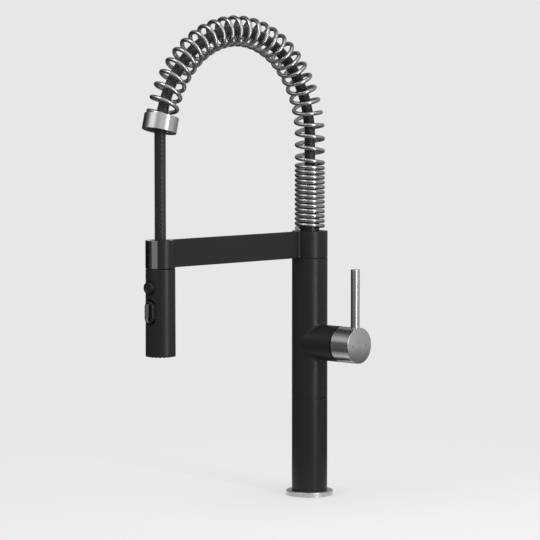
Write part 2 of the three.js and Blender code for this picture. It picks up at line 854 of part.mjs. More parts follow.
// The hose's centre line from the top of the arm: straight up, over an ellipse, and straight on
// through the end collar.
class ArchLine extends THREE.Curve {
	constructor() {
		super();
		this.arcLengthDivisions = 2000;
		this.straight = straightTop - armTop;
		this.bend = (archHalfWidth + archRise) / 2 * THREE.MathUtils.degToRad(archAngle);
		this.whole = this.straight + this.bend + collarLength;
	}

	getPoint(share, target = new THREE.Vector3()) {
		const along = share * this.whole;
		if (along < this.straight) return target.set(0, 0, armTop + along);
		const angle = THREE.MathUtils.degToRad(archAngle) * (along - this.straight) / this.bend;
		if (angle <= THREE.MathUtils.degToRad(archAngle)) {
			return target.set(
				0,
				-archHalfWidth * (1 - Math.cos(angle)),
				straightTop + archRise * Math.sin(angle),
			);
		}
		const past = along - this.straight - this.bend;
		return target.copy(collarTop).add(
			new THREE.Vector3(0, -Math.sin(collarTilt), -Math.cos(collarTilt)).multiplyScalar(past),
		);
	}

	// The point and the tangent at a real length along the line.
	at(length) {
		const share = length / this.getLength();
		return { point: this.getPointAt(share), tangent: this.getTangentAt(share) };
	}
}

const archLine = new ArchLine();
const collarPlace = archLine.getLength() - collarLength; // length along the line at the collar's top

// How far along the arch the wire has got after a number of turns.
function climb(turns) {
	const ramped = THREE.MathUtils.clamp(turns - closeTurns, 0, pitchRampTurns);
	const open = Math.max(turns - closeTurns - pitchRampTurns, 0);
	const ramp = closePitch * ramped
		+ (openPitch - closePitch) * ramped ** 2 / (2 * pitchRampTurns);
	return wireRadius + slip + closePitch * Math.min(turns, closeTurns) + ramp + openPitch * open;
}

function springTurns() {
	const reach = collarPlace + springInCollar;
	return closeTurns + pitchRampTurns + (reach - climb(closeTurns + pitchRampTurns)) / openPitch;
}

// A left-hand coil wound along the arch.
function coilSpring() {
	const steps = Math.round(springTurns() * springSteps);
	const rings = [];
	for (let i = 0; i <= steps; i++) {
		const turns = springTurns() * i / steps;
		const { point, tangent } = archLine.at(climb(turns));
		const inPlane = new THREE.Vector3().crossVectors(tangent, xAxis);
		const angle = THREE.MathUtils.degToRad(springStart - 360 * turns);
		const outwards = xAxis.clone().multiplyScalar(Math.cos(angle))
			.addScaledVector(inPlane, Math.sin(angle));
		const forwards = xAxis.clone().multiplyScalar(Math.sin(angle))
			.addScaledVector(inPlane, -Math.cos(angle))
			.multiplyScalar(2 * Math.PI * coilRadius)
			.addScaledVector(tangent, closePitch)
			.normalize();
		rings.push({
			centre: point.addScaledVector(outwards, coilRadius),
			outwards,
			tangent: forwards,
		});
	}
	reportGap(rings);
	return tubeThrough(rings, wireRadius, springSides);
}

// Prints the least gap between one turn and another, measured on points of the wire's centre line.
function reportGap(rings) {
	const centres = rings.map((ring) => ring.centre);
	const halfTurn = springSteps / 2;
	let least = Infinity;
	for (let i = 0; i < centres.length; i++) {
		for (let j = i + halfTurn; j < Math.min(i + 3 * halfTurn, centres.length - 1); j++) {
			const side = new THREE.Line3(centres[j], centres[j + 1]);
			const nearest = side.closestPointToPoint(centres[i], true, new THREE.Vector3());
			least = Math.min(least, nearest.distanceTo(centres[i]));
		}
	}
	console.log(`coil spring: least gap to itself ${(least - 2 * wireRadius).toFixed(2)} mm`);
}

function archHose() {
	const end = collarPlace + hoseInCollar;
	const rings = [];
	for (let i = 0; i <= hoseSteps; i++) {
		const { point, tangent } = archLine.at(THREE.MathUtils.lerp(hoseStart, end, i / hoseSteps));
		rings.push({ centre: point, outwards: xAxis, tangent });
	}
	return tubeThrough(rings, hoseRadius, hoseSides);
}

function springSeat() {
	const spigot = spoutBore - slip;
	const underside = upperSeamHeight + neckTop + slip;
	return revolve([
		[outletRadius, underside],
		[spigot, underside],
		[spigot, armTop - slip],
		[insideSpring, armTop - slip],
		[insideSpring, armTop + seatLength - seatEdge],
		[insideSpring - seatEdge, armTop + seatLength],
		[hoseRadius + slip, armTop + seatLength],
		[hoseRadius + slip, armTop + hoseStart - slip],
		[outletRadius, armTop + hoseStart - slip],
	], mediumSides);
}

// ---------------------------------------------------------------- end collar, in its own frame

// The frame's origin is the centre of the collar's upper edge, and Z runs back up the arch.
const collarFrame = shifted(...collarTop)
	.multiply(turned(xAxis, -THREE.MathUtils.radToDeg(collarTilt)));

function springCollar() {
	const bore = collarRadius - collarWall;
	return tube(collarRadius, bore, -collarLength, 0, columnSides, collarEdge);
}

function collarInsert() {
	const plateTop = -(springInCollar + wireRadius + slip);
	const plateRadius = collarRadius - collarWall - slip;
	const bore = hoseRadius + slip;
	const foot = dropTop - sleeveLength;
	const plate = rod(plateRadius, plateTop - insertPlate, plateTop, mediumSides);
	const hub = rod(insideSpring, plateTop - past, -slip, mediumSides);
	const hoseBore = rod(bore, -hoseInCollar - slip, past, smallSides);
	const sleeve = rod(bore + sleeveWall, foot, dropTop + sleeveCover, mediumSides);
	const dropBore = rod(bore, foot - past, dropTop + slip, smallSides);
	const overSpray = shifted(0, -armReach, 0);
	return moved(plate.add(hub).subtract(hoseBore), collarFrame)
		.add(moved(sleeve, overSpray))
		.subtract(moved(dropBore, overSpray));
}

const dropTop = collarTop.z - dropDepth; // the drop hose's end inside the collar

// ---------------------------------------------------------------- hand spray, on its own axis

const spigotTop = sprayTop + spigotLength;
const hoseNutBottom = spigotTop + slip;

function dropHose() {
	return rod(hoseRadius, hoseNutBottom + hoseNutLength + slip, dropTop, smallSides);
}

function hoseNut() {
	const top = hoseNutBottom + hoseNutLength;
	return tube(hoseNutRadius, sprayBore, hoseNutBottom, top, smallSides, hoseNutEdge);
}

const spigotFoot = sprayTop - sprayRoof - spigotTail;
const valveSeat = spigotTop - valvePocket.depth;

function dockingSpigot() {
	return revolve([
		[sprayBore, spigotFoot],
		[spigotStem, spigotFoot],
		[spigotStem, sprayTop + slip],
		[spigotRadius, sprayTop + slip],
		[spigotRadius, spigotTop - spigotTaper.length],
		[spigotRadius - spigotTaper.depth, spigotTop],
		[valvePocket.radius, spigotTop],
		[valvePocket.radius, valveSeat],
		[sprayBore, valveSeat],
	], mediumSides);
}

function checkValve() {
	const radius = valvePocket.radius - slip;
	return tube(radius, checkValveBore, valveSeat + slip, spigotTop - slip, smallSides);
}

// A rounded slot's outline in the XY plane, long in Y.
function stadium(width, length) {
	const radius = width / 2;
	const reach = length / 2 - radius;
	return [
		...arc(0, reach, radius, 0, 180, 12),
		...arc(0, -reach, radius, 180, 360, 12),
	];
}

// A rounded slot cut towards the spray's axis from its front, between two distances from the axis.
function frontSlot(width, length, from, to) {
	const upright = extrude(stadium(width, length), from, to - from);
	return moved(upright, shifted(0, 0, switchHeight).multiply(turned(xAxis, 90)));
}

function handsetBody() {
	const recess = buttonRadius + buttonCounterbore;
	const outside = sprayFootRadius + past;
	return revolve([
		[spigotStem + slip, sprayTop - sprayRoof],
		[shellBore, sprayTop - sprayRoof],
		[shellBore, sprayFoot],
		[sprayFootRadius - sprayFootEdge, sprayFoot],
		[sprayFootRadius, sprayFoot + sprayFootEdge],
		[sprayTopRadius, sprayTop - sprayTopEdge],
		[sprayTopRadius - sprayTopEdge, sprayTop],
		[spigotStem + slip, sprayTop],
	], columnSides)
		.subtract(crossRod(recess, -outside, -frontWall, buttonHeight, mediumSides))
		.subtract(frontSlot(switchWidth, switchLength, frontWall, outside));
}

const waterwayBottom = sprayFoot + faceInset + faceThickness + platePad + aeratorCavity;
const buttonBack = sprayTopRadius + buttonProud - buttonLength;
const buttonPocket = buttonBack - buttonTravel - buttonSlack;

function waterwayBody() {
	const top = spigotFoot - slip;
	const radius = shellBore - slip;
	const outside = radius + past;
	const passage = rod(sprayBore, waterwayBottom - past, top + past, tinySides);
	const switchBack = trackFloor - trackThickness - slip - sliderStem.reach;
	return rod(radius, waterwayBottom, top, mediumSides, waterwayEdge)
		.subtract(moved(passage, shifted(0, sprayPassageOffset, 0)))
		.subtract(crossRod(buttonRadius + buttonSlack, -outside, -buttonPocket, buttonHeight, smallSides))
		.subtract(crossRod(spoolRadius + slip, -outside, past, buttonHeight, tinySides))
		.subtract(frontSlot(switchWidth + slip, switchLength + slip, switchBack, outside));
}

function sprayButton() {
	const front = sprayTopRadius + buttonProud;
	const button = revolve([
		[0, front - buttonDish.depth],
		[buttonDish.floor, front - buttonDish.depth],
		[buttonDish.radius, front],
		[buttonRadius - buttonEdge, front],
		[buttonRadius, front - buttonEdge],
		[buttonRadius, buttonBack],
		[buttonCavity.radius, buttonBack],
		[buttonCavity.radius, buttonBack + buttonCavity.depth],
		[0, buttonBack + buttonCavity.depth],
	], mediumSides);
	return moved(button, frontwards);
}

// Turns a solid built along Z to point out of the spray's front at the button's height.
const frontwards = shifted(0, 0, buttonHeight).multiply(turned(xAxis, 90));

function diverterSpool() {
	const top = buttonBack + buttonCavity.depth - slip;
	return moved(rod(spoolRadius, buttonBack - slip - spoolLength, top, tinySides), frontwards);
}

// The return spring's space at the pressed length: a plain sleeve in the button's cavity.
function buttonSpring() {
	const { outer, inner } = returnSpring;
	const from = buttonPocket + slip;
	const to = buttonBack + buttonCavity.depth - buttonTravel - slip;
	return moved(tube(outer, inner, from, to, smallSides), frontwards);
}

// The plate that the slide runs on, with a slot for its stem.
function switchTrack() {
	const back = trackFloor - trackThickness;
	const slotWidth = sliderStem.width + stemSlotSlack.across;
	const slotLength = sliderStem.length + 2 * sliderTravel + stemSlotSlack.along;
	return frontSlot(switchWidth - 2 * slip, switchLength - 2 * slip, back, trackFloor)
		.subtract(frontSlot(slotWidth, slotLength, back - past, trackFloor + past));
}

// The slide, with its middle at the origin's height.
function switchSlider() {
	const foot = trackFloor + slip;
	const rim = stadium(sliderWidth - 2 * sliderEdge, sliderLength - 2 * sliderEdge);
	const wall = stadium(sliderWidth, sliderLength);
	const oval = loft(wall.map((p, i) => [
		[p.x, p.y, foot], [p.x, p.y, sliderCrown - sliderEdge], [rim[i].x, rim[i].y, sliderCrown],
	]));
	const { width, length, reach } = sliderStem;
	const stem = block(
		[-width / 2, -length / 2, trackFloor - trackThickness - reach],
		[width / 2, length / 2, foot + past],
	);
	const pocket = extrude(gripOutline(slip), sliderCrown - gripPocket, gripPocket + past);
	return moved(oval.subtract(pocket).add(stem), turned(xAxis, 90));
}

// The grip from the front, a pad over a narrow tail, drawn larger all round by an allowance.
function gripOutline(allowance) {
	const { halfWidth, top, tip, point } = gripTail;
	const bottom = gripBottom - allowance;
	const half = [
		[gripPad.halfWidth + allowance, gripTop + allowance],
		[gripPad.halfWidth + allowance, gripPad.bottom],
		[halfWidth + allowance, top],
		[halfWidth + allowance, gripBottom + point],
		[tip + allowance, bottom],
	];
	return [
		...half.map(([x, y]) => new THREE.Vector2(x, y)),
		...half.reverse().map(([x, y]) => new THREE.Vector2(-x, y)),
	];
}

// The light thumb grip on the slide, ribbed across its pad and sloping back down its tail.
function switchGrip() {
	const floor = sliderCrown - gripPocket + slip;
	const crown = sliderCrown + gripProud;
	let grip = extrude(gripOutline(0), floor, crown - floor);
	for (let i = 1; i <= gripRibs; i++) {
		const height = gripTop - i * gripRibPitch;
		grip = grip.subtract(acrossGrip([
			[crown - gripRibDepth, height + gripRibDepth],
			[crown + past, height + 2 * gripRibDepth + past],
			[crown + past, height - past],
			[crown, height],
		]));
	}
	grip = grip.subtract(acrossGrip([
		[crown + past, gripTail.top],
		[crown, gripTail.top],
		[crown - gripTail.fall, gripBottom],
		[crown - gripTail.fall, gripBottom - past],
		[crown + past, gripBottom - past],
	]));
	return moved(grip, turned(xAxis, 90));
}

// A cutter that runs across the grip, from its side view: distance from the axis and height.
function acrossGrip(outline) {
	const half = gripPad.halfWidth + past;
	const shape = outline.map(([distance, height]) => new THREE.Vector2(distance, height));
	return moved(extrude(shape, -half, 2 * half), acrossFront);
}

// Takes X to the distance from the axis, held along Z here, Y to the height, and Z across.
const acrossFront = new THREE.Matrix4().makeBasis(
	new THREE.Vector3(0, 0, 1), new THREE.Vector3(0, 1, 0), new THREE.Vector3(-1, 0, 0),
);

function nozzlePlaces() {
	return Array.from({ length: nozzleCount }, (_, i) => {
		const angle = 2 * Math.PI * i / nozzleCount;
		return [nozzleCircle * Math.cos(angle), nozzleCircle * Math.sin(angle)];
	});
}

function sprayFace() {
	const bottom = sprayFoot + faceInset;
	const top = bottom + faceThickness;
	let face = tube(shellBore - slip, aeratorRadius + slip, bottom, top, mediumSides);
	for (const [x, y] of nozzlePlaces()) {
		const hole = rod(nozzleRadius + slip, bottom - past, top + past, nozzleSides);
		face = face.subtract(moved(hole, shifted(x, y, 0)));
	}
	return face;
}

function nozzlePlate() {
	const bottom = sprayFoot + faceInset + faceThickness + slip;
	let plate = tube(shellBore - slip, aeratorRadius + slip, bottom, bottom + platePad, mediumSides);
	const tip = sprayFoot - nozzleProud;
	for (const [x, y] of nozzlePlaces()) {
		const nozzle = revolve([
			[0, tip],
			[nozzleRadius - nozzleTaper, tip],
			[nozzleRadius, sprayFoot + faceInset],
			[nozzleRadius, bottom + nozzleRoot],
			[0, bottom + nozzleRoot],
		], nozzleSides);
		plate = plate.add(moved(nozzle, shifted(x, y, 0)));
	}
	return plate;
}

function aerator() {
	const bottom = sprayFoot + faceInset + aeratorInset;
	const top = waterwayBottom - slip;
	const { half, pitch } = screenHole;
	const hole = block([-half, -half, bottom - past], [half, half, top + past]);
	let screen = rod(aeratorRadius, bottom, top, mediumSides, aeratorEdge);
	for (const [x, y] of [[0, 0], [1, 0], [-1, 0], [0, 1], [0, -1]]) {
		screen = screen.subtract(moved(hole, shifted(x * pitch, y * pitch, 0)));
	}
	return screen;
}

// ---------------------------------------------------------------- the assembly

function group(...children) {
	const made = new THREE.Group();
	made.add(...children);
	return made;
}

function place(object, x, y, z) {
	object.position.set(x, y, z);
	return object;
}

function deckFixing() {
	return group(
		piece('base_flange', baseFlange(), brushedSteel),
		piece('deck_gasket', deckGasket(), blackRubber),
		piece('mounting_shank', mountingShank(), brass),
		piece('clamp_gasket', clampRing(clampGasketTop, clampGasketThickness), blackRubber),
		piece('clamp_washer', clampRing(clampWasherTop, clampWasherThickness), brushedSteel),
		piece('mounting_nut', mountingNut(), brass),
		place(piece('jack_screw_left', jackScrew(), brushedSteel), -jackScrewOffset, 0, 0),
		place(piece('jack_screw_right', jackScrew(), brushedSteel), jackScrewOffset, 0, 0),
	);
}

function column() {
	const offset = supplyTubeSpacing / 2;
	return group(
		piece('base_column', baseColumn(), matteBlack),
		piece('joining_nipple', joiningNipple(), brass),
		piece('valve_body', valveBody(), matteBlack),
		place(piece('hot_supply_tail', supplyTube(), brass), 0, -offset, 0),
		place(piece('cold_supply_tail', supplyTube(), brass), 0, offset, 0),
		piece('swivel_ring_lower', swivelRing(ringHeights[0]), blackRubber),
		piece('swivel_ring_upper', swivelRing(ringHeights[1]), blackRubber),
		piece('arm_nut', armNut(), brass),
	);
}

function mixer() {
	const made = group(
		piece('cartridge_body', cartridgeBody(), whitePlastic),
		piece('fixed_disc', fixedDisc(), ceramic),
		piece('moving_disc', movingDisc(), ceramic),
		piece('stem_carrier', stemCarrier(), whitePlastic),
		piece('stem_pin', stemPin(), brushedSteel),
		piece('cartridge_stem', cartridgeStem(), brass),
		piece('cartridge_nut', cartridgeNut(), brass),
		piece('bonnet_ring', bonnetRing(), blackPlastic),
		piece('handle_cap', handleCap(), brushedSteel),
		piece('handle_lever', handleLever(), brushedSteel),
		piece('handle_grub_screw', grubScrew(), brushedSteel),
	);
	made.rotation.y = Math.PI / 2;
	return place(made, 0, 0, handleHeight);
}

function endCollar() {
	const made = group(piece('spring_collar', springCollar(), brushedSteel));
	made.rotation.x = -collarTilt;
	return place(made, ...collarTop);
}

function spout() {
	return group(
		piece('dock_arm', dockArm(), matteBlack),
		piece('swivel_bush', swivelBush(), whitePlastic),
		place(piece('dock_liner', dockLiner(), glossBlack), 0, -armReach, 0),
		piece('spring_seat', springSeat(), blackPlastic),
		piece('coil_spring', coilSpring(), springSteel),
		piece('arch_hose', archHose(), blackHose),
		piece('collar_insert', collarInsert(), blackPlastic),
		endCollar(),
	);
}

function handSpray() {
	return place(group(
		piece('drop_hose', dropHose(), blackHose),
		piece('hose_nut', hoseNut(), brass),
		piece('docking_spigot', dockingSpigot(), blackPlastic),
		piece('handset_body', handsetBody(), matteBlack),
		piece('check_valve', checkValve(), blackPlastic),
		piece('waterway_body', waterwayBody(), blackPlastic),
		piece('spray_button', sprayButton(), blackPlastic),
		piece('button_spring', buttonSpring(), springSteel),
		piece('diverter_spool', diverterSpool(), brass),
		piece('switch_track', switchTrack(), blackPlastic),
		place(piece('switch_slider', switchSlider(), blackPlastic), 0, 0, switchHeight),
		place(piece('switch_grip', switchGrip(), greyPlastic), 0, 0, switchHeight),
		piece('spray_face', sprayFace(), blackPlastic),
		piece('nozzle_plate', nozzlePlate(), blackRubber),
		piece('aerator', aerator(), blackPlastic),
	), 0, -armReach, 0);
}

export default group(deckFixing(), column(), mixer(), spout(), handSpray());
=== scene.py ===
"""A single-lever kitchen faucet with a spring arch, a docking arm and a pull-down hand spray.

Everything is modelled in millimetres in the faucet's own frame and scaled to metres as it becomes
a mesh. +Z is up, the column stands on the Z axis, the arm points to -Y and the handle is on the +X
side.
"""

import json
import math
from bisect import bisect_right

import bmesh
import bpy
from mathutils import Matrix, Vector
from mathutils.geometry import tessellate_polygon
from numpy import interp

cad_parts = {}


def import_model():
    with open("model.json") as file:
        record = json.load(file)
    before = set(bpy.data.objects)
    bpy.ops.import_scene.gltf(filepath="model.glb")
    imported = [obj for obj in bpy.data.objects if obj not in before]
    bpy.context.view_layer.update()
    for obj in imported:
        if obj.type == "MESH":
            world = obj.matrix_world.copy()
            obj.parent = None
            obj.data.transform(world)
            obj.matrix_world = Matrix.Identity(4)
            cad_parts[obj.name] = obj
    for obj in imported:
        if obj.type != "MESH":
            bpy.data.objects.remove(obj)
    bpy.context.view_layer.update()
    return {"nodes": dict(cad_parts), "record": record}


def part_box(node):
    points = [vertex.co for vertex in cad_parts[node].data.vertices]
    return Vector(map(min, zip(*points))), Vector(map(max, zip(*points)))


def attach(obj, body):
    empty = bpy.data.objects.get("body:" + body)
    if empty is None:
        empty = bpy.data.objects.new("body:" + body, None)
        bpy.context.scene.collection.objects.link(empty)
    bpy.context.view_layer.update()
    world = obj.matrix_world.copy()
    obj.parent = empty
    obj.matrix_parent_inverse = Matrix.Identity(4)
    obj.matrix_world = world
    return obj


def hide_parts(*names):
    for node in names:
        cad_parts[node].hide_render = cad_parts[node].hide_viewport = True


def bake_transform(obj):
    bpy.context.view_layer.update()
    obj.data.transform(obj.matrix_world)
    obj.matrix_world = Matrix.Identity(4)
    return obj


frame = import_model()

MM = 0.001
CYCLE = 2 * math.pi


def box(node):
    """A node's lowest and highest corners in millimetres."""
    low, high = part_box(node)
    return low / MM, high / MM


# ---------------- sizes, in millimetres

SIDES = 128  # segments round the column, the cap, the collar and the hand spray
SMALL_SIDES = 64
BEVEL_STEPS = 5
WELD = 1e-4
ON_WALL = 1e-6  # metres between a point and the turned wall that it counts as part of
SHARP = math.radians(38)
ACROSS = Vector((1, 0, 0))

FIT = 0.3  # between a moulded piece and the one that it sits in
SEAM = 0.4
COLUMN_EDGE = 0.5
column_low, column_high = box("base_column")
COLUMN_RADIUS = column_high.x
COLUMN_BORE = 16.3
body_low, body_high = box("valve_body")
arm_low, arm_high = box("dock_arm")
BODY_TOP = arm_low.z - SEAM

bonnet_low, bonnet_high = box("bonnet_ring")
cap_low, cap_high = box("handle_cap")
HANDLE_HEIGHT = (cap_low.z + cap_high.z) / 2
BOSS_RADIUS = (cap_high.z - cap_low.z) / 2
BOSS_FILLET = 3.0
LEVER_SEAT = 9.3  # the lever's foot above the cap's own axis
lever_low, lever_high = box("handle_lever")
LEVER_PLACE = (lever_low.x + lever_high.x) / 2
LEVER_RADIUS = (lever_high.x - lever_low.x) / 2

spray_low, spray_high = box("handset_body")
SPRAY_Y = (spray_low.y + spray_high.y) / 2
SPRAY_FOOT_RADIUS = (spray_high.y - spray_low.y) / 2
SPRAY_TOP_RADIUS = SPRAY_FOOT_RADIUS - 0.2
SPRAY_BORE = 12.75
liner_low, liner_high = box("dock_liner")
DOCK_RADIUS = SPRAY_Y - liner_low.y
DOCK_WALL = 2.6
DOCK_KEY_ANGLE = math.radians(38)
DOCK_KEY_GAP = math.radians(1)
LINER_RADIUS = DOCK_RADIUS - DOCK_WALL - FIT
LINER_WALL = 1.3
ARM_THICKNESS = 5.0
ARM_FILLET = 2.2
ARM_EDGE = 0.45
ARM_BORE = 14.8


# ---------------- node materials


def add(tree, kind, inputs=None, **settings):
    """A shader node with some of its settings, and some inputs set to a value or a socket."""
    node = tree.nodes.new(kind)
    for name, value in settings.items():
        setattr(node, name, value)
    for name, value in (inputs or {}).items():
        if isinstance(value, bpy.types.NodeSocket):
            tree.links.new(value, node.inputs[name])
        else:
            node.inputs[name].default_value = value
    return node


def calculate(tree, operation, *values):
    """The result for one or two numbers, each given as a socket or a value."""
    return add(tree, "ShaderNodeMath", dict(enumerate(values)), operation=operation).outputs[0]


def principled(name, color, roughness, metallic=0.0, **inputs):
    """A material, its node tree, and its Principled shader with the constant inputs set."""
    material = bpy.data.materials.new(name)
    material.use_nodes = True
    tree = material.node_tree
    shader = tree.nodes["Principled BSDF"]
    inputs.update(Base_Color=(*color, 1), Roughness=roughness, Metallic=metallic)
    for key, value in inputs.items():
        shader.inputs[key.replace("_", " ")].default_value = value
    return material, tree, shader


def scaled_noise(tree, vector, scale, detail=2.0, stretch=None):
    """Noise whose features are about 1 / scale metres wide, stretched along an axis if asked."""
    if stretch:
        vector = add(tree, "ShaderNodeMapping", {"Vector": vector, "Scale": stretch}).outputs[0]
    return add(tree, "ShaderNodeTexNoise", {
        "Vector": vector, "Scale": scale, "Detail": detail}).outputs[0]


def remap(tree, value, low, high, start=0.3, end=0.7):
    """A value that goes from low to high while the one given goes from start to end."""
    return add(tree, "ShaderNodeMapRange", {
        0: value, "From Min": start, "From Max": end, "To Min": low, "To Max": high}).outputs[0]


def mixed(tree, factor, a, b):
    """A colour between two, each given as a socket, a grey or its red, green and blue."""
    def color(value):
        if isinstance(value, bpy.types.NodeSocket):
            return value
        return (value, value, value, 1) if isinstance(value, (int, float)) else (*value, 1)

    return add(tree, "ShaderNodeMix", {"Factor": factor, "A": color(a), "B": color(b)},
               data_type="RGBA").outputs["Result"]


def raise_bumps(tree, shader, heights):
    """Bumps stacked on the shader, each with its texture, its strength and its depth in mm."""
    below = {}
    for height, strength, depth in heights:
        bump = add(tree, "ShaderNodeBump", {
            "Height": height, "Strength": strength, "Distance": depth * MM, **below})
        below = {"Normal": bump.outputs[0]}
    tree.links.new(below["Normal"], shader.inputs["Normal"])


def vary_gloss(tree, shader, value, low, high):
    tree.links.new(remap(tree, value, low, high), shader.inputs["Roughness"])


def vary_shade(tree, shader, value, shade, dark, light):
    """The base colour drifts between a darker and a lighter shade."""
    color = mixed(tree, value, [c * dark for c in shade], [min(c * light, 1) for c in shade])
    tree.links.new(color, shader.inputs["Base Color"])


def coordinates(tree, kind):
    return add(tree, "ShaderNodeTexCoord").outputs[kind]


def lathe_coordinates(tree):
    """Radius and height round the object's own Z axis, so that fine lines run round the piece."""
    parts = add(tree, "ShaderNodeSeparateXYZ", {0: coordinates(tree, "Object")}).outputs
    flat = add(tree, "ShaderNodeCombineXYZ", {"X": parts["X"], "Y": parts["Y"]}).outputs[0]
    radius = add(tree, "ShaderNodeVectorMath", {0: flat}, operation="LENGTH").outputs["Value"]
    return add(tree, "ShaderNodeCombineXYZ", {"X": radius, "Y": parts["Z"]}).outputs[0]


def powder_coat(name, shade, roughness):
    """Fine satin coating: a faint orange peel, a finer grain and slightly uneven gloss."""
    material, tree, shader = principled(name, shade, roughness, Specular_IOR_Level=0.3)
    point = coordinates(tree, "Object")
    peel = scaled_noise(tree, point, 900, 3)
    grain = scaled_noise(tree, point, 6000)
    patches = scaled_noise(tree, point, 90, 3)
    vary_gloss(tree, shader, patches, roughness - 0.03, roughness + 0.03)
    vary_shade(tree, shader, remap(tree, grain, 0, 1), shade, 0.88, 1.12)
    raise_bumps(tree, shader, [(peel, 0.10, 0.03), (grain, 0.12, 0.01)])
    return material


def turned_metal(name, shade, roughness, lines, anisotropy):
    """Metal finished on a lathe, with fine lines that run round the piece's own axis."""
    material, tree, shader = principled(
        name, shade, roughness, 1.0, Anisotropic=anisotropy, Anisotropic_Rotation=0.25)
    tangent = add(tree, "ShaderNodeTangent", direction_type="RADIAL", axis="Z")
    tree.links.new(tangent.outputs[0], shader.inputs["Tangent"])
    turned = lathe_coordinates(tree)
    fine = scaled_noise(tree, turned, 9000)
    broad = scaled_noise(tree, turned, 1400, 3)
    smudge = scaled_noise(tree, coordinates(tree, "Object"), 130, 3)
    rough = calculate(tree, "ADD", remap(tree, fine, roughness - 0.03, roughness + 0.03),
                      remap(tree, smudge, -0.01, 0.02))
    tree.links.new(rough, shader.inputs["Roughness"])
    vary_shade(tree, shader, remap(tree, fine, 0, 1), shade, 0.96, 1.03)
    raise_bumps(tree, shader, [(fine, lines, 0.008), (broad, lines * 0.5, 0.01)])
    return material


def moulded(name, shade, roughness, grain_size=2500, depth=0.02, **inputs):
    """Moulded plastic or rubber with a fine spark-eroded grain."""
    material, tree, shader = principled(name, shade, roughness, **inputs)
    point = coordinates(tree, "Object")
    grain = scaled_noise(tree, point, grain_size, 3)
    patches = scaled_noise(tree, point, 200)
    vary_gloss(tree, shader, patches, roughness - 0.04, roughness + 0.05)
    vary_shade(tree, shader, remap(tree, patches, 0, 1), shade, 0.9, 1.1)
    raise_bumps(tree, shader, [(grain, 0.15, depth)])
    return material


def drawn_wire(name, shade, roughness):
    """Bright spring wire: hair-thin drawing lines along it, from the mesh's own coordinates."""
    material, tree, shader = principled(name, shade, roughness, 1.0)
    along = coordinates(tree, "UV")
    lines = scaled_noise(tree, along, 1.0, 3, stretch=(0.02, 60, 1))
    stains = scaled_noise(tree, along, 1.0, 3, stretch=(0.05, 3, 1))
    vary_gloss(tree, shader, lines, roughness - 0.03, roughness + 0.04)
    vary_shade(tree, shader, remap(tree, stains, 0, 1), shade, 0.92, 1.04)
    raise_bumps(tree, shader, [(lines, 0.03, 0.006)])
    return material


def braided(name, shade, roughness, strands, pitch):
    """A hose's woven sleeve: two sets of strands that wind round it in opposite directions. The
    mesh's coordinates run along the hose in millimetres and once round it."""
    material, tree, shader = principled(name, shade, roughness, Sheen_Weight=0.45,
                                        Sheen_Roughness=0.3)
    place = add(tree, "ShaderNodeSeparateXYZ", {0: coordinates(tree, "UV")}).outputs
    waves = []
    for way in (1, -1):
        along = calculate(tree, "MULTIPLY", place["X"], CYCLE / pitch)
        around = calculate(tree, "MULTIPLY", place["Y"], way * CYCLE * strands)
        waves.append(calculate(tree, "SINE", calculate(tree, "ADD", along, around)))
    height = remap(tree, calculate(tree, "MAXIMUM", *waves), 0, 1, -1, 1)
    fibre = scaled_noise(tree, coordinates(tree, "Object"), 5000)
    # the colour follows the weave's height: painted shade in the hollows between strands and a
    # painted highlight on their crowns
    vary_shade(tree, shader, height, shade, 0.1, 2.6)
    raise_bumps(tree, shader, [(height, 0.9, 0.35), (fibre, 0.1, 0.02)])
    return material


def moulding_with_painted_light(name, shade, roughness, painted_side_shade, painted_downward_highlight):
    """A moulding with painted shade on its sides and a painted highlight on its downward slopes,
    told apart by which way the surface faces on the object itself."""
    material = moulded(name, shade, roughness)
    tree = material.node_tree
    base = tree.nodes["Principled BSDF"].inputs["Base Color"]
    facing = add(tree, "ShaderNodeSeparateXYZ", {0: coordinates(tree, "Normal")}).outputs
    # painted highlight on the slopes that face down, painted shade on the sides
    downward = remap(tree, facing["Z"], 1, 0, -0.25, -0.1)
    sideways = remap(tree, calculate(tree, "ABSOLUTE", facing["X"]), 0, 1, 0.5, 0.8)
    color = mixed(tree, downward, base.links[0].from_socket, painted_downward_highlight)
    tree.links.new(mixed(tree, sideways, color, painted_side_shade), base)
    return material


MATTE_BLACK = powder_coat("matte_black", (0.0125, 0.0125, 0.0128), 0.35)
GLOSS_BLACK = moulded("gloss_black", (0.004, 0.004, 0.0045), 0.06, 400, 0.002,
                      Coat_Weight=1.0, Coat_Roughness=0.03, Coat_IOR=2.2, Specular_IOR_Level=0.8)
TURNED_STEEL = turned_metal("brushed_steel", (0.63, 0.63, 0.635), 0.2, 0.05, 0.5)
SATIN_STEEL = turned_metal("satin_steel", (0.60, 0.60, 0.605), 0.32, 0.05, 0.3)
BRASS = turned_metal("brass", (0.69, 0.5, 0.22), 0.28, 0.05, 0.3)
WIRE = drawn_wire("spring_steel", (0.52, 0.52, 0.525), 0.21)
HOSE = braided("black_hose", (0.005, 0.005, 0.0053), 0.36, 9, 4.6)
RUBBER = moulded("black_rubber", (0.008, 0.008, 0.008), 0.7, 1800, 0.03)
BLACK_PLASTIC = moulded("black_plastic", (0.008, 0.008, 0.0085), 0.38)
GREY_PLASTIC = moulded("grey_plastic", (0.22, 0.22, 0.22), 0.42)
# the grip's sides carry painted shade and its downward slopes a painted highlight
GRIP = moulding_with_painted_light("grip_plastic", (0.10, 0.10, 0.10), 0.34, 0.004, 0.18)
WHITE_PLASTIC = moulded("white_plastic", (0.66, 0.66, 0.63), 0.5)
CERAMIC = moulded("ceramic", (0.78, 0.76, 0.71), 0.25, 3000, 0.004)
MARK = moulded("mark_grey", (0.10, 0.10, 0.10), 0.6)

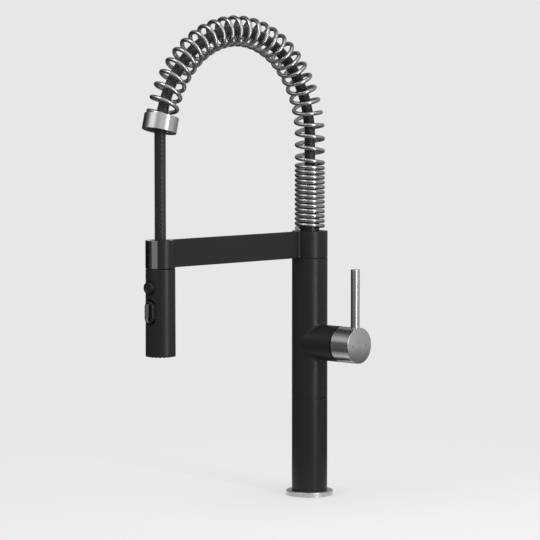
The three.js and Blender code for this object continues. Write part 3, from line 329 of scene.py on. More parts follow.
SLOTS = {
    "matte_black": MATTE_BLACK, "gloss_black": GLOSS_BLACK, "brushed_steel": TURNED_STEEL,
    "spring_steel": WIRE, "black_hose": HOSE, "black_rubber": RUBBER,
    "black_plastic": BLACK_PLASTIC, "grey_plastic": GREY_PLASTIC,
    "white_plastic": WHITE_PLASTIC, "brass": BRASS, "ceramic": CERAMIC,
}


# ---------------- surfaces


def rounded(path, closed=True):
    """A path of (x, y) or (x, y, radius) corners, with an arc at each corner that has a radius."""
    points = []
    for i, (x, y, *radius) in enumerate(path):
        here = Vector((x, y))
        if not radius or (not closed and i in (0, len(path) - 1)):
            points.append(here)
            continue
        back = (Vector(path[i - 1][:2]) - here).normalized()
        on = (Vector(path[(i + 1) % len(path)][:2]) - here).normalized()
        half = back.angle(on) / 2
        centre = here + (back + on).normalized() * radius[0] / math.sin(half)
        start = here + back * radius[0] / math.tan(half) - centre
        end = here + on * radius[0] / math.tan(half) - centre
        sweep = start.angle(end)
        for k in range(BEVEL_STEPS + 1):
            t = k / BEVEL_STEPS
            points.append(centre + (start * math.sin((1 - t) * sweep)
                                    + end * math.sin(t * sweep)) / math.sin(sweep))
    return points


def ring(radius, height, sides=SIDES):
    """Points round the Z axis, the first of them at the back."""
    angles = [-math.pi + CYCLE * k / sides for k in range(sides)]
    return [Vector((radius * math.sin(a), -radius * math.cos(a), height)) for a in angles]


def revolved(path, sides=SIDES):
    """A path of (radius, height) points turned round the Z axis, as rows of points."""
    return [ring(*point, sides) for point in path]


def skin(mesh, rows):
    """Four-sided faces between neighbouring rows of points, all round."""
    made = [[mesh.verts.new(point) for point in row] for row in rows]
    for here, there in zip(made, made[1:]):
        for i in range(len(here)):
            j = (i + 1) % len(here)
            mesh.faces.new((here[i], here[j], there[j], there[i]))


def fill(mesh, loops):
    """Triangles between an outline and its holes, all in one plane."""
    points = [point for loop in loops for point in loop]
    corners = [mesh.verts.new(point) for point in points]
    for a, b, c in tessellate_polygon(loops):
        if len({a, b, c}) == 3:
            mesh.faces.new((corners[a], corners[b], corners[c]))


def solid(rows):
    """A solid through rows of points, with its flat ends filled."""
    mesh = bmesh.new()
    skin(mesh, rows)
    for row in (rows[0], rows[-1]):
        fill(mesh, [row])
    return mesh


def welded(name, mesh):
    """The mesh as data, with its points welded and its faces turned outwards."""
    bmesh.ops.remove_doubles(mesh, verts=mesh.verts, dist=WELD)
    bmesh.ops.recalc_face_normals(mesh, faces=mesh.faces)
    data = bpy.data.meshes.new(name)
    mesh.to_mesh(data)
    mesh.free()
    return data


def in_scene(name, data):
    made = bpy.data.objects.new(name, data)
    bpy.context.scene.collection.objects.link(made)
    return made


def shade_as_wall(data, radius):
    """Normals straight out from the Z axis on the faces whose corners all lie on the wall."""
    points = data.vertices
    on = [abs(math.hypot(v.co.x, v.co.y) - radius) < ON_WALL for v in points]
    normals = []
    for face in data.polygons:
        whole = all(on[i] for i in face.vertices)
        for i in face.vertices:
            out = Vector((points[i].co.x, points[i].co.y, 0)).normalized()
            normals.append(out if whole else (0, 0, 0))
    data.normals_split_custom_set(normals)


def publish(name, shape, material, body, slot, stands_for=(), place=None, wall=None):
    """Makes the object from a mesh or its data: scales and smooths it, and hangs it on its body.
    A turned wall with a hole in it is shaded as the true cylinder of that radius."""
    data = welded(name, shape) if isinstance(shape, bmesh.types.BMesh) else shape
    data.transform(Matrix.Scale(MM, 4))
    data.materials.append(material)
    data.shade_smooth()
    data.set_sharp_from_angle(angle=SHARP)
    if wall:
        shade_as_wall(data, wall * MM)
    piece = in_scene(name, data)
    if place:
        piece.matrix_world = Matrix.Translation(place.translation * MM) @ place.to_3x3().to_4x4()
    if not wall:
        weights = piece.modifiers.new("weighted_normals", "WEIGHTED_NORMAL")
        weights.keep_sharp = True
    if body:
        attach(piece, body)
    if stands_for:
        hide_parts(*stands_for)
    return piece


def lathe(path, sides=SIDES):
    """A closed solid turned round the Z axis. A path that starts on the axis ends there."""
    mesh = bmesh.new()
    rows = revolved(path, sides)
    if path[0][0] > 0:
        rows.append(rows[0])
    skin(mesh, rows)
    return mesh


def tube_path(outer, inner, low, high, edge):
    return rounded([
        (inner, low, edge / 2), (outer, low, edge), (outer, high, edge), (inner, high, edge / 2)])


def rod_path(radius, low, high, edge):
    return rounded([(0, low), (radius, low, edge), (radius, high, edge), (0, high)], closed=False)


def prism(outline, holes, low, high, edge):
    """An outline, given as a function of how far it is drawn in, raised with rounded rims."""
    steps = [(edge * (1 - math.sin(a)), edge * (1 - math.cos(a)))
             for a in (math.pi / 2 * k / BEVEL_STEPS for k in range(BEVEL_STEPS + 1))]
    levels = [(inset, low + rise) for inset, rise in steps]
    levels += [(inset, high - rise) for inset, rise in reversed(steps)]
    mesh = bmesh.new()
    for loop in (outline, *holes):
        skin(mesh, [[Vector((*p, height)) for p in loop(inset)] for inset, height in levels])
    for height in (low, high):
        fill(mesh, [[Vector((*p, height)) for p in loop(edge)] for loop in (outline, *holes)])
    return mesh


def arc(x, y, radius, start, end, steps):
    angles = [start + (end - start) * k / steps for k in range(steps + 1)]
    return [(x + radius * math.cos(a), y + radius * math.sin(a)) for a in angles]


def circle_hole(radius):
    """A round hole's outline for prism(), which widens where the rim is rounded."""
    return lambda inset: arc(0, 0, radius + inset, 0, CYCLE * (1 - 1 / SIDES), SIDES - 1)


# ---------------- holes in a turned wall

BAND_UP = 24  # segments from the bottom of a band with a hole in it to its top
BAND_EASE = 1.25  # how far its rows are drawn towards the hole


def band_directions(up):
    """Round the edge of an unrolled band: each point's place from -1 to 1, across and up."""
    edge = [(-1 + 2 * k / SIDES, -1) for k in range(SIDES)]
    edge += [(1, -1 + 2 * k / up) for k in range(up)]
    edge += [(1 - 2 * k / SIDES, 1) for k in range(SIDES)]
    edge += [(-1, 1 - 2 * k / up) for k in range(up)]
    return edge


def holed_band(outline, radius_at, centre, lip, low, high, up=BAND_UP, rows=64):
    """Rows of points on a turned wall, from a hole's edge out to a whole band between two heights.
    outline(direction, lip) gives a point of the edge, across and up from the hole's centre."""
    places = []
    for across, height in band_directions(up):
        x, z = outline(math.atan2(height, across), lip)
        angle = math.asin(max(-1, min(1, x / radius_at(centre + z))))
        end_height = low + (high - low) * (height + 1) / 2
        places.append((angle, across * math.pi, centre + z, end_height))
    grid = []
    for row in range(rows + 1):
        share = (row / rows) ** BAND_EASE
        grid.append([])
        for start_angle, end_angle, start_height, end_height in places:
            angle = start_angle + (end_angle - start_angle) * share
            z = start_height + (end_height - start_height) * share
            radius = radius_at(z)
            grid[-1].append(Vector((radius * math.sin(angle), -radius * math.cos(angle), z)))
    return grid


def hole_rows(outline, radius_at, centre, lip, bottom):
    """Rows down a hole's wall, square to the front: a rounded lip and then straight in to where
    bottom(x) says."""
    directions = [math.atan2(height, across) for across, height in band_directions(BAND_UP)]
    rows = []
    for step in range(BEVEL_STEPS + 1):
        turn = math.pi / 2 * step / BEVEL_STEPS
        widen, sink = lip * (1 - math.sin(turn)), lip * (1 - math.cos(turn))
        rows.append([])
        for direction in directions:
            x, z = outline(direction, widen)
            radius = radius_at(centre + z)
            rows[-1].append(Vector((x, -math.sqrt(radius ** 2 - x ** 2) + sink, centre + z)))
    edge = [outline(direction, 0) for direction in directions]
    rows.append([Vector((x, -bottom(x), centre + z)) for x, z in edge])
    return rows


def round_outline(radius):
    return lambda direction, lip: (
        (radius + lip) * math.cos(direction), (radius + lip) * math.sin(direction))


def slot_outline(width, length):
    """A slot with round ends, long in Z."""
    def edge(direction, lip):
        radius = width / 2 + lip
        reach = (length - width) / 2
        c, s = math.cos(direction), math.sin(direction)
        if abs(c) > 1e-9 and abs(s) * radius / abs(c) <= reach:
            return math.copysign(radius, c), radius * s / abs(c)
        out = reach * abs(s) + math.sqrt(radius ** 2 - (reach * c) ** 2)
        return out * c, out * s
    return edge


# ---------------- column


def base_flange():
    low, high = box("base_flange")
    inner, outer, groove = 19.5, 23.5, low.z + 1.6  # the gasket's groove in the foot
    path = rounded([
        (COLUMN_BORE, low.z, 0.2), (inner, low.z), (inner, groove), (outer, groove),
        (outer, low.z), (high.x, low.z, 0.3), (high.x, high.z, 0.9), (COLUMN_BORE, high.z, 0.2)])
    publish("flange", lathe(path), SATIN_STEEL, "column", "brushed_steel", ["base_flange"])


def base_column():
    path = tube_path(COLUMN_RADIUS, COLUMN_BORE, column_low.z, column_high.z, COLUMN_EDGE)
    publish("column_lower", lathe(path), MATTE_BLACK, "column", "matte_black", ["base_column"])


def boss_contact(direction):
    """Where a ball of the fillet's radius rolls round the boss against the column's wall, in the
    plane through the boss's axis: the contact's distance from the boss's axis, its depth from the
    column's axis, and the direction of the wall there."""
    sideways = math.cos(direction) ** 2

    def wall(radius):
        along = math.sqrt(max(COLUMN_RADIUS ** 2 - sideways * radius ** 2, 0))
        out = sideways * radius
        length = math.hypot(along, out)
        return along, along / length, out / length

    low, high = BOSS_RADIUS, BOSS_RADIUS + BOSS_FILLET
    for _ in range(40):
        middle = (low + high) / 2
        if middle + BOSS_FILLET * wall(middle)[2] < BOSS_RADIUS + BOSS_FILLET:
            low = middle
        else:
            high = middle
    return (low, *wall(low))


def boss_rows(up):
    """Rows from the boss's pocket out over its end and along it to the column's wall, with the
    boss towards the front."""
    reach = body_high.x
    pocket, counterbore, floor_at = 14.4, 16.8, 2.1
    ledge = bonnet_low.x - 0.3
    end = rounded([
        (0, floor_at), (pocket, floor_at), (pocket, ledge), (counterbore, ledge),
        (counterbore, reach, 0.2), (BOSS_RADIUS, reach, COLUMN_EDGE), (BOSS_RADIUS, ledge),
    ], closed=False)
    steps = BEVEL_STEPS * 2
    rows = [[] for _ in range(len(end) + steps + 1)]
    for across, height in band_directions(up):
        direction = math.atan2(height, across)
        _, along, wall_along, wall_out = boss_contact(direction)
        fillet = arc(BOSS_RADIUS + BOSS_FILLET, along + BOSS_FILLET * wall_along, BOSS_FILLET,
                     math.pi, math.pi + math.atan2(wall_along, wall_out), steps)
        for row, (out, distance) in zip(rows, [*end, *fillet]):
            row.append(Vector((
                out * math.cos(direction), -distance, HANDLE_HEIGHT + out * math.sin(direction))))
    return rows


def valve_body():
    def contact(direction, lip):
        radius = boss_contact(direction)[0]
        return radius * math.cos(direction), radius * math.sin(direction)

    up = 64
    low, high = body_low.z + COLUMN_EDGE, BODY_TOP - COLUMN_EDGE
    wall = lambda z: COLUMN_RADIUS
    mesh = bmesh.new()
    skin(mesh, boss_rows(up))
    skin(mesh, holed_band(contact, wall, HANDLE_HEIGHT, 0, low, high, up))
    neck, bore, socket = 12.5, 6, body_low.z + 10
    top = rounded([
        (COLUMN_RADIUS, high), (COLUMN_RADIUS, BODY_TOP, COLUMN_EDGE), (neck, BODY_TOP),
        (neck, body_high.z, 0.6), (bore, body_high.z, 0.3), (bore, BODY_TOP), (0, BODY_TOP),
    ], closed=False)
    bottom = rounded([
        (COLUMN_RADIUS, low), (COLUMN_RADIUS, body_low.z, COLUMN_EDGE),
        (COLUMN_BORE, body_low.z, 0.2), (COLUMN_BORE, socket), (0, socket),
    ], closed=False)
    for path in (top, bottom):
        skin(mesh, revolved(path))
    publish("column_body", mesh, MATTE_BLACK, "column", "matte_black", ["valve_body"],
            Matrix.Rotation(math.pi / 2, 4, "Z"))


# ---------------- handle


def along_boss():
    """Local Z runs out along the boss from the column's axis, and local -Y points up."""
    turn = Matrix(((0, 0, 1), (-1, 0, 0), (0, -1, 0))).to_4x4()
    return Matrix.Translation((0, 0, HANDLE_HEIGHT)) @ turn


def bonnet_ring():
    radius, bore = bonnet_high.z - HANDLE_HEIGHT, 12
    path = tube_path(radius, bore, bonnet_low.x, bonnet_high.x, 0.5)
    publish("bonnet", lathe(path), BLACK_PLASTIC, "column", "black_plastic", ["bonnet_ring"],
            along_boss())


def handle_cap():
    mouth, face = cap_low.x, cap_high.x
    edge, lip, clearance = 0.55, 0.25, 0.12
    inside, ceiling, hub, hub_foot = BOSS_RADIUS - 1.5, face - 10.6, 7.0, face - 18.6
    band_low, band_high = mouth + 0.8, face - edge
    outline = round_outline(LEVER_RADIUS + clearance)
    radius_at = lambda z: BOSS_RADIUS
    mesh = bmesh.new()
    skin(mesh, holed_band(outline, radius_at, LEVER_PLACE, lip, band_low, band_high))
    rows = hole_rows(outline, radius_at, LEVER_PLACE, lip, lambda x: LEVER_SEAT)
    rows.append([Vector((0, -LEVER_SEAT, LEVER_PLACE))] * len(rows[0]))
    skin(mesh, rows)
    front = rounded([
        (BOSS_RADIUS, band_high), (BOSS_RADIUS, face, edge), (0, face)], closed=False)
    back = rounded([
        (BOSS_RADIUS, band_low), (BOSS_RADIUS, mouth, 0.35), (inside, mouth, 0.3),
        (inside, ceiling, 0.8), (hub, ceiling, 0.8), (hub, hub_foot, 0.4), (0, hub_foot),
    ], closed=False)
    for path in (front, back):
        skin(mesh, revolved(path))
    publish("cap", mesh, TURNED_STEEL, "handle", "brushed_steel", ["handle_cap"], along_boss(),
            wall=BOSS_RADIUS)


def handle_lever():
    path = rod_path(LEVER_RADIUS, lever_low.z, lever_high.z, 0.55)
    publish("lever", lathe(path, SMALL_SIDES), TURNED_STEEL, "handle", "brushed_steel",
            ["handle_lever"], Matrix.Translation((LEVER_PLACE, 0, 0)))


def cap_marks():
    """A dot and a small ring, one to either side of the cap's face, for hot and cold."""
    low, high, edge, aside = cap_high.x - 0.06, cap_high.x + 0.02, 0.01, 10.5
    dot = rod_path(1.0, low, high, edge)
    circle = tube_path(1.35, 0.85, low, high, edge)
    for name, path, y in (("mark_dot", dot, -aside), ("mark_ring", circle, aside)):
        place = Matrix.Translation((0, y, 0)) @ along_boss()
        publish(name, lathe(path, SMALL_SIDES // 2), MARK, "handle", "grey_plastic", (), place)


# ---------------- docking arm


def arm_outline(inset):
    """The arm from above: a collar, a flat bar and an open ring, with fillets between them."""
    collar, ring_outer = COLUMN_RADIUS - inset, DOCK_RADIUS - inset
    ring_inner = DOCK_RADIUS - DOCK_WALL + inset
    fillet = ARM_FILLET + inset
    x = ARM_THICKNESS / 2 - inset + fillet
    collar_y = -math.sqrt((collar + fillet) ** 2 - x ** 2)
    ring_y = SPRAY_Y + math.sqrt((ring_outer + fillet) ** 2 - x ** 2)
    collar_angle = math.atan2(collar_y, x)
    ring_angle = math.atan2(ring_y - SPRAY_Y, x)
    gap = DOCK_KEY_ANGLE + DOCK_KEY_GAP + inset / DOCK_RADIUS
    start, end = -math.pi / 2 - gap + CYCLE, -math.pi / 2 + gap + CYCLE
    return [
        *arc(0, 0, collar, collar_angle, math.pi - collar_angle, 110),
        *arc(-x, collar_y, fillet, -collar_angle, 0, 8),
        *arc(-x, ring_y, fillet, 0, -ring_angle, 8),
        *arc(0, SPRAY_Y, ring_outer, math.pi - ring_angle, start, 36),
        *arc(0, SPRAY_Y, ring_inner, start, end - CYCLE, 64),
        *arc(0, SPRAY_Y, ring_outer, end, CYCLE + ring_angle, 36),
        *arc(x, ring_y, fillet, math.pi + ring_angle, math.pi, 8),
        *arc(x, collar_y, fillet, math.pi, math.pi + collar_angle, 8),
    ]


def dock_arm():
    mesh = prism(arm_outline, [circle_hole(ARM_BORE)], arm_low.z, arm_high.z, ARM_EDGE)
    publish("arm", mesh, MATTE_BLACK, "spout", "matte_black", ["dock_arm"])


def liner_outline(inset):
    """The liner from above: a sleeve, with a key that fills the ring's gap flush with it."""
    gap = DOCK_KEY_ANGLE - inset / DOCK_RADIUS
    front = -math.pi / 2
    return [
        *arc(0, 0, DOCK_RADIUS - inset, front - gap, front + gap, 32),
        *arc(0, 0, LINER_RADIUS - inset, front + gap, front - gap + CYCLE, 90),
    ]


def dock_liner():
    bore = circle_hole(LINER_RADIUS - LINER_WALL)
    mesh = prism(liner_outline, [bore], liner_low.z, liner_high.z, 0.35)
    publish("liner", mesh, GLOSS_BLACK, "spout", "gloss_black", ["dock_liner"], spray_place())


# ---------------- spring arch

STRAIGHT_TOP = 380.5
ARCH_RISE = 113.6
ARCH_ANGLE = math.radians(165.9)
COLLAR_LEAD = 2.5
COLLAR_RADIUS = 17.55
COLLAR_LENGTH = 16.1
COLLAR_WALL = 1.15
HOSE_RADIUS = 5.75
HOSE_SIDES = 32
HOSE_START = 3.0  # above the arm's top
HOSE_IN_COLLAR = 6.2
WIRE_RADIUS = 2.2
WIRE_SIDES = 20
STEPS_PER_TURN = 64
COIL_RADIUS = 13.95
CLOSE_PITCH = 5.12
CLOSE_TURNS = 13.28
RAMP_TURNS = 0.5
OPEN_PITCH = 13.07
SPRING_START = math.radians(-125)
SPRING_IN_COLLAR = 4.3
SPRING_REST = WIRE_RADIUS + 0.3  # the first turn's centre above the arm's top

ARCH_HALF_WIDTH = (-SPRAY_Y - COLLAR_LEAD) / (1 - math.cos(ARCH_ANGLE))
COLLAR_TILT = math.atan2(
    ARCH_HALF_WIDTH * math.sin(ARCH_ANGLE), -ARCH_RISE * math.cos(ARCH_ANGLE))


def over_arch(angle):
    """A point of the hose's centre line, by its angle round the arch's ellipse."""
    return Vector((0, -ARCH_HALF_WIDTH * (1 - math.cos(angle)),
                   STRAIGHT_TOP + ARCH_RISE * math.sin(angle)))


COLLAR_TOP = over_arch(ARCH_ANGLE)


class Arch:
    """The hose's centre line by length: up from the arm, over an ellipse, and on through the
    end collar."""

    def __init__(self, steps=3000):
        down = Vector((0, -math.sin(COLLAR_TILT), -math.cos(COLLAR_TILT)))
        self.points = [
            Vector((0, 0, arm_high.z)), *(over_arch(ARCH_ANGLE * k / steps) for k in range(steps)),
            COLLAR_TOP, COLLAR_TOP + down * COLLAR_LENGTH]
        self.lengths = [0.0]
        for a, b in zip(self.points, self.points[1:]):
            self.lengths.append(self.lengths[-1] + (b - a).length)
        self.collar = self.lengths[-2]

    def at(self, length):
        """The point and the tangent at a length along the line."""
        i = min(bisect_right(self.lengths, length), len(self.points) - 1) - 1
        step = self.points[i + 1] - self.points[i]
        past = length - self.lengths[i]
        return self.points[i] + step * past / step.length, step.normalized()


arch = Arch()


def climb(turns):
    """How far along the arch the wire has got after a number of turns."""
    ramped = min(max(turns - CLOSE_TURNS, 0), RAMP_TURNS)
    opened = max(turns - CLOSE_TURNS - RAMP_TURNS, 0)
    ramp = CLOSE_PITCH * ramped + (OPEN_PITCH - CLOSE_PITCH) * ramped ** 2 / (2 * RAMP_TURNS)
    return SPRING_REST + CLOSE_PITCH * min(turns, CLOSE_TURNS) + ramp + OPEN_PITCH * opened


def tube(name, sections, radius, sides, **kept):
    """A closed tube through (centre, outwards, tangent) sections, with coordinates that run along
    it in millimetres and once round it."""
    points, lengths = [], [0.0]
    for i, (centre, outwards, tangent) in enumerate(sections):
        sideways = tangent.cross(outwards).normalized()
        outwards = sideways.cross(tangent).normalized()
        for k in range(sides):
            angle = CYCLE * k / sides
            points.append(
                centre + (outwards * math.cos(angle) + sideways * math.sin(angle)) * radius)
        if i:
            lengths.append(lengths[-1] + (centre - sections[i - 1][0]).length)
    faces = []
    for i in range(len(sections) - 1):
        for k in range(sides):
            j = (k + 1) % sides
            faces.append((i * sides + k, i * sides + j, (i + 1) * sides + j, (i + 1) * sides + k))
    last = (len(sections) - 1) * sides
    faces.append(tuple(reversed(range(sides))))
    faces.append(tuple(range(last, last + sides)))
    data = bpy.data.meshes.new(name)
    data.from_pydata(points, [], faces)
    uv = data.uv_layers.new(name="along")
    corner = 0
    for i in range(len(sections) - 1):
        for k in range(sides):
            for step, turn in ((0, k), (0, k + 1), (1, k + 1), (1, k)):
                uv.data[corner].uv = (lengths[i + step], turn / sides)
                corner += 1
    return publish(name, data, **kept)


def coil_spring():
    reach = arch.collar + SPRING_IN_COLLAR
    open_turns = (reach - climb(CLOSE_TURNS + RAMP_TURNS)) / OPEN_PITCH
    turns = CLOSE_TURNS + RAMP_TURNS + open_turns
    steps = round(turns * STEPS_PER_TURN)
    centres = []
    for k in range(steps + 1):
        turned = turns * k / steps
        point, tangent = arch.at(climb(turned))
        angle = SPRING_START - CYCLE * turned
        outwards = ACROSS * math.cos(angle) + tangent.cross(ACROSS) * math.sin(angle)
        centres.append((point + outwards * COIL_RADIUS, outwards))
    sections = []
    for k, (centre, outwards) in enumerate(centres):
        before = centres[max(k - 1, 0)][0]
        after = centres[min(k + 1, steps)][0]
        sections.append((centre, outwards, (after - before).normalized()))
    tube("spring", sections, WIRE_RADIUS, WIRE_SIDES, material=WIRE, body="spout",
         slot="spring_steel", stands_for=["coil_spring"])


def arch_hose():
    end, steps, sections = arch.collar + HOSE_IN_COLLAR, 240, []
    for k in range(steps + 1):
        point, tangent = arch.at(HOSE_START + (end - HOSE_START) * k / steps)
        sections.append((point, ACROSS, tangent))
    tube("hose_in_arch", sections, HOSE_RADIUS, HOSE_SIDES, material=HOSE, body="spout",
         slot="black_hose", stands_for=["arch_hose"])


def drop_hose():
    low, high = box("drop_hose")
    up, steps = Vector((0, 0, 1)), 120
    sections = [(Vector((0, SPRAY_Y, low.z + (high.z - low.z) * k / steps)), ACROSS, up)
                for k in range(steps + 1)]
    piece = tube("hose_to_spray", sections, HOSE_RADIUS, HOSE_SIDES, material=HOSE, body=None,
                 slot="black_hose", stands_for=["drop_hose"])
    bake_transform(piece)


def spring_collar():
    path = tube_path(COLLAR_RADIUS, COLLAR_RADIUS - COLLAR_WALL, -COLLAR_LENGTH, 0, 0.45)
    place = Matrix.Translation(COLLAR_TOP) @ Matrix.Rotation(-COLLAR_TILT, 4, "X")
    publish("end_collar", lathe(path), TURNED_STEEL, "spout", "brushed_steel", ["spring_collar"],
            place)


# ---------------- hand spray

button_low, button_high = box("spray_button")
BUTTON_HEIGHT = (button_low.z + button_high.z) / 2
BUTTON_RADIUS = (button_high.x - button_low.x) / 2
BUTTON_HOLE = BUTTON_RADIUS + 0.35
track_low, track_high = box("switch_track")
SWITCH_HEIGHT = (track_low.z + track_high.z) / 2
SLOT_WIDTH = track_high.x - track_low.x + 2 * FIT
SLOT_LENGTH = track_high.z - track_low.z + 2 * FIT


def spray_place():
    return Matrix.Translation((0, SPRAY_Y, 0))


def spray_radius(height):
    share = (height - spray_low.z) / (spray_high.z - spray_low.z)
    return SPRAY_FOOT_RADIUS + (SPRAY_TOP_RADIUS - SPRAY_FOOT_RADIUS) * share


def handset_body():
    lip, edge, neck = 0.3, 0.4, 6.3
    top, bottom = spray_high.z, spray_low.z
    ceiling = top - 5
    middle = (button_low.z + track_high.z) / 2
    foot = track_low.z - 4
    button = round_outline(BUTTON_HOLE)
    switch = slot_outline(SLOT_WIDTH, SLOT_LENGTH)
    inside = lambda z: SPRAY_BORE
    mesh = bmesh.new()
    for outline, centre, low, high in (
        (button, BUTTON_HEIGHT, middle, top - edge), (switch, SWITCH_HEIGHT, foot, middle),
    ):
        skin(mesh, holed_band(outline, spray_radius, centre, lip, low, high))
        skin(mesh, hole_rows(outline, spray_radius, centre, lip,
                             lambda x: math.sqrt(SPRAY_BORE ** 2 - x ** 2)))
        skin(mesh, holed_band(outline, inside, centre, 0, low, min(high, ceiling), rows=8))
    roof = rounded([
        (spray_radius(top - edge), top - edge), (SPRAY_TOP_RADIUS, top, edge), (neck, top),
        (neck, ceiling), (SPRAY_BORE, ceiling)], closed=False)
    rim = rounded([
        (spray_radius(foot), foot), (SPRAY_FOOT_RADIUS, bottom, 0.5),
        (SPRAY_BORE, bottom, 0.4), (SPRAY_BORE, foot)], closed=False)
    for path in (roof, rim):
        skin(mesh, revolved(path))
    publish("handset", mesh, MATTE_BLACK, "handset", "matte_black", ["handset_body"],
            spray_place())


def facing_front(height):
    """Local Z runs out of the spray's front at a height, and local X stays across."""
    turn = Matrix(((1, 0, 0), (0, 0, -1), (0, 1, 0))).to_4x4()
    return Matrix.Translation((0, SPRAY_Y, height)) @ turn


def spray_button():
    front, back = SPRAY_Y - button_low.y, SPRAY_Y - button_high.y
    cavity, cavity_radius = back + 4.6, 5.0
    dish, dish_radius, dish_floor = front - 0.5, 4.0, 3.1
    path = rounded([
        (0, cavity), (cavity_radius, cavity), (cavity_radius, back), (BUTTON_RADIUS, back, 0.2),
        (BUTTON_RADIUS, front, 0.9), (dish_radius, front, 0.4), (dish_floor, dish, 0.6),
        (0, dish)], closed=False)
    publish("button", lathe(path, SMALL_SIDES), BLACK_PLASTIC, "button", "black_plastic",
            ["spray_button"], facing_front(BUTTON_HEIGHT))


def switch_slider():
    """The oval slide: a rounded rim round a face that is dished very slightly."""
    low, high = box("switch_slider")
    foot, crown = SPRAY_Y - high.y, SPRAY_Y - low.y
    outline = slot_outline(high.x - low.x, high.z - low.z)
    middle, face, face_level = -5.8, -2.3, crown - 0.35  # middle and face: in from the outline
    side = rounded([
        (middle, foot), (0, foot, 0.2), (0, crown, 0.8), (-1.5, crown, 0.4),
        (face, face_level, 0.4), (middle, face_level)], closed=False)
    rows = []
    for inset, distance in side:
        edge = [outline(CYCLE * k / SIDES, inset) for k in range(SIDES)]
        rows.append([Vector((x, -distance, (low.z + high.z) / 2 + z)) for x, z in edge])
    publish("slide", solid(rows), BLACK_PLASTIC, "switch", "black_plastic",
            ["switch_slider"], spray_place())


def switch_grip():
    """The ribbed thumb grip on the slide, a pad over a narrow tail that slopes back."""
    low, high = box("switch_grip")
    foot, crown = SPRAY_Y - high.y, SPRAY_Y - low.y
    pad, tail, tip = 2.0, 1.15, 0.5  # half widths
    pad_foot, tail_top, tip_top = high.z - 12.4, high.z - 13.4, low.z + 1.2
    slope = 1.4  # how far the tail's end lies behind the pad
    pitch, depth, groove = 3.8, 0.5, 0.9
    ribbed = 3.5 * pitch
    edge, steps = 0.35, 150
    rows = []
    for k in range(steps + 1):
        height = low.z + (high.z - low.z) * k / steps
        width = interp(height, (low.z, tip_top, tail_top, pad_foot), (tip, tail, tail, pad))
        front = crown - slope * max(0, tail_top - height) / (tail_top - low.z)
        into = (high.z - height) % pitch
        if high.z - height < ribbed and into > pitch - groove:
            front -= depth * math.sin(math.pi * (pitch - into) / groove)
        end = min(high.z - height, height - low.z)
        if end < edge:
            drop = edge - math.sqrt(edge ** 2 - (edge - end) ** 2)
            front, width = front - drop, width - drop
        corners = [(-width, -foot), (-width, -front, edge * 0.9),
                   (width, -front, edge * 0.9), (width, -foot)]
        rows.append([Vector((*point, height)) for point in rounded(corners)])
    publish("grip", solid(rows), GRIP, "switch", "grey_plastic", ["switch_grip"],
            spray_place())


def nozzle_plate():
    """Soft nozzles that poke through the spray face."""
    low, high = box("nozzle_plate")
    count, circle = 15, 10.4
    plate, plate_radius, plate_bore = high.z - 1.6, 12.45, 7.3
    tip, radius, taper = 0.65, 0.95, low.z + 2.8
    hole, hole_end, root = 0.4, low.z + 0.5, plate + 0.2
    mesh = lathe(tube_path(plate_radius, plate_bore, plate, high.z, 0.2), SMALL_SIDES)
    path = rounded([
        (0, hole_end), (hole, hole_end), (hole, low.z, 0.1), (tip, low.z, 0.2),
        (radius, taper), (radius, root), (0, root)], closed=False)
    for k in range(count):
        angle = CYCLE * k / count
        shift = Vector((circle * math.cos(angle), circle * math.sin(angle), 0))
        skin(mesh, [[p + shift for p in row] for row in revolved(path, 20)])
    publish("nozzles", mesh, RUBBER, "handset", "black_rubber", ["nozzle_plate"], spray_place())


# ---------------- what stays as the frame has it


def carried_nodes():
    """Every node that no piece stands for keeps its shape and gets its slot's finish."""
    slots = {part["node"]: part.get("material_slot") for part in frame["record"]["subparts"]}
    for name, node in frame["nodes"].items():
        node.data.shade_smooth()
        node.data.set_sharp_from_angle(angle=SHARP)
        node.data.materials.clear()
        node.data.materials.append(SLOTS.get(slots.get(name), BLACK_PLASTIC))


# ---------------- studio

CAMERA_PLACE = Vector((1.8544, -2.0581, 0.4448))
CAMERA_PITCH = math.radians(4.199)
CAMERA_TURN = math.radians(42.897)
CAMERA_LENS = 173.45
TOWARDS_CAMERA = Vector((CAMERA_PLACE.x, CAMERA_PLACE.y, 0)).normalized()
CAMERA_RIGHT = Vector((-TOWARDS_CAMERA.y, TOWARDS_CAMERA.x, 0))
MIDDLE = Vector((0, -0.1, 0.25))
LINER_FRONT = Vector((0, -0.241, 0.258))


def camera():
    data = bpy.data.cameras.new("camera")
    data.lens = CAMERA_LENS
    data.sensor_width = 36
    data.clip_end = 100
    made = in_scene("camera", data)
    made.location = CAMERA_PLACE
    made.rotation_euler = (math.pi / 2 - CAMERA_PITCH, 0, CAMERA_TURN)
    bpy.context.scene.camera = made


def softbox(name, azimuth, elevation, distance, width, height, radiance, aim=MIDDLE):
    """A soft lamp at an angle to the right of the camera, aimed at the faucet."""
    turn, lift = math.radians(azimuth), math.radians(elevation)
    flat = TOWARDS_CAMERA * math.cos(turn) + CAMERA_RIGHT * math.sin(turn)
    direction = flat * math.cos(lift) + Vector((0, 0, math.sin(lift)))
    data = bpy.data.lights.new(name, "AREA")
    data.shape = "RECTANGLE"
    data.size, data.size_y = width, height
    data.energy = radiance * math.pi * width * height
    lamp = in_scene(name, data)
    lamp.location = aim + direction * distance
    lamp.rotation_euler = (-direction).to_track_quat("-Z", "Y").to_euler()


def lamps():
    softbox("strip", 45, 0, 0.80, 0.07, 1.5, 11)
    softbox("strip_soft", 41, 0, 0.82, 0.09, 1.5, 1.2)
    softbox("strip_softer", 34, 0, 0.84, 0.12, 1.5, 0.5)
    softbox("overhead", 60, 66, 1.3, 1.0, 1.0, 0.9)
    softbox("side", -43, 0, 0.45, 0.40, 0.10, 0.6, LINER_FRONT)
    softbox("upper_left", -47, 57, 1.2, 0.46, 0.34, 4.6)


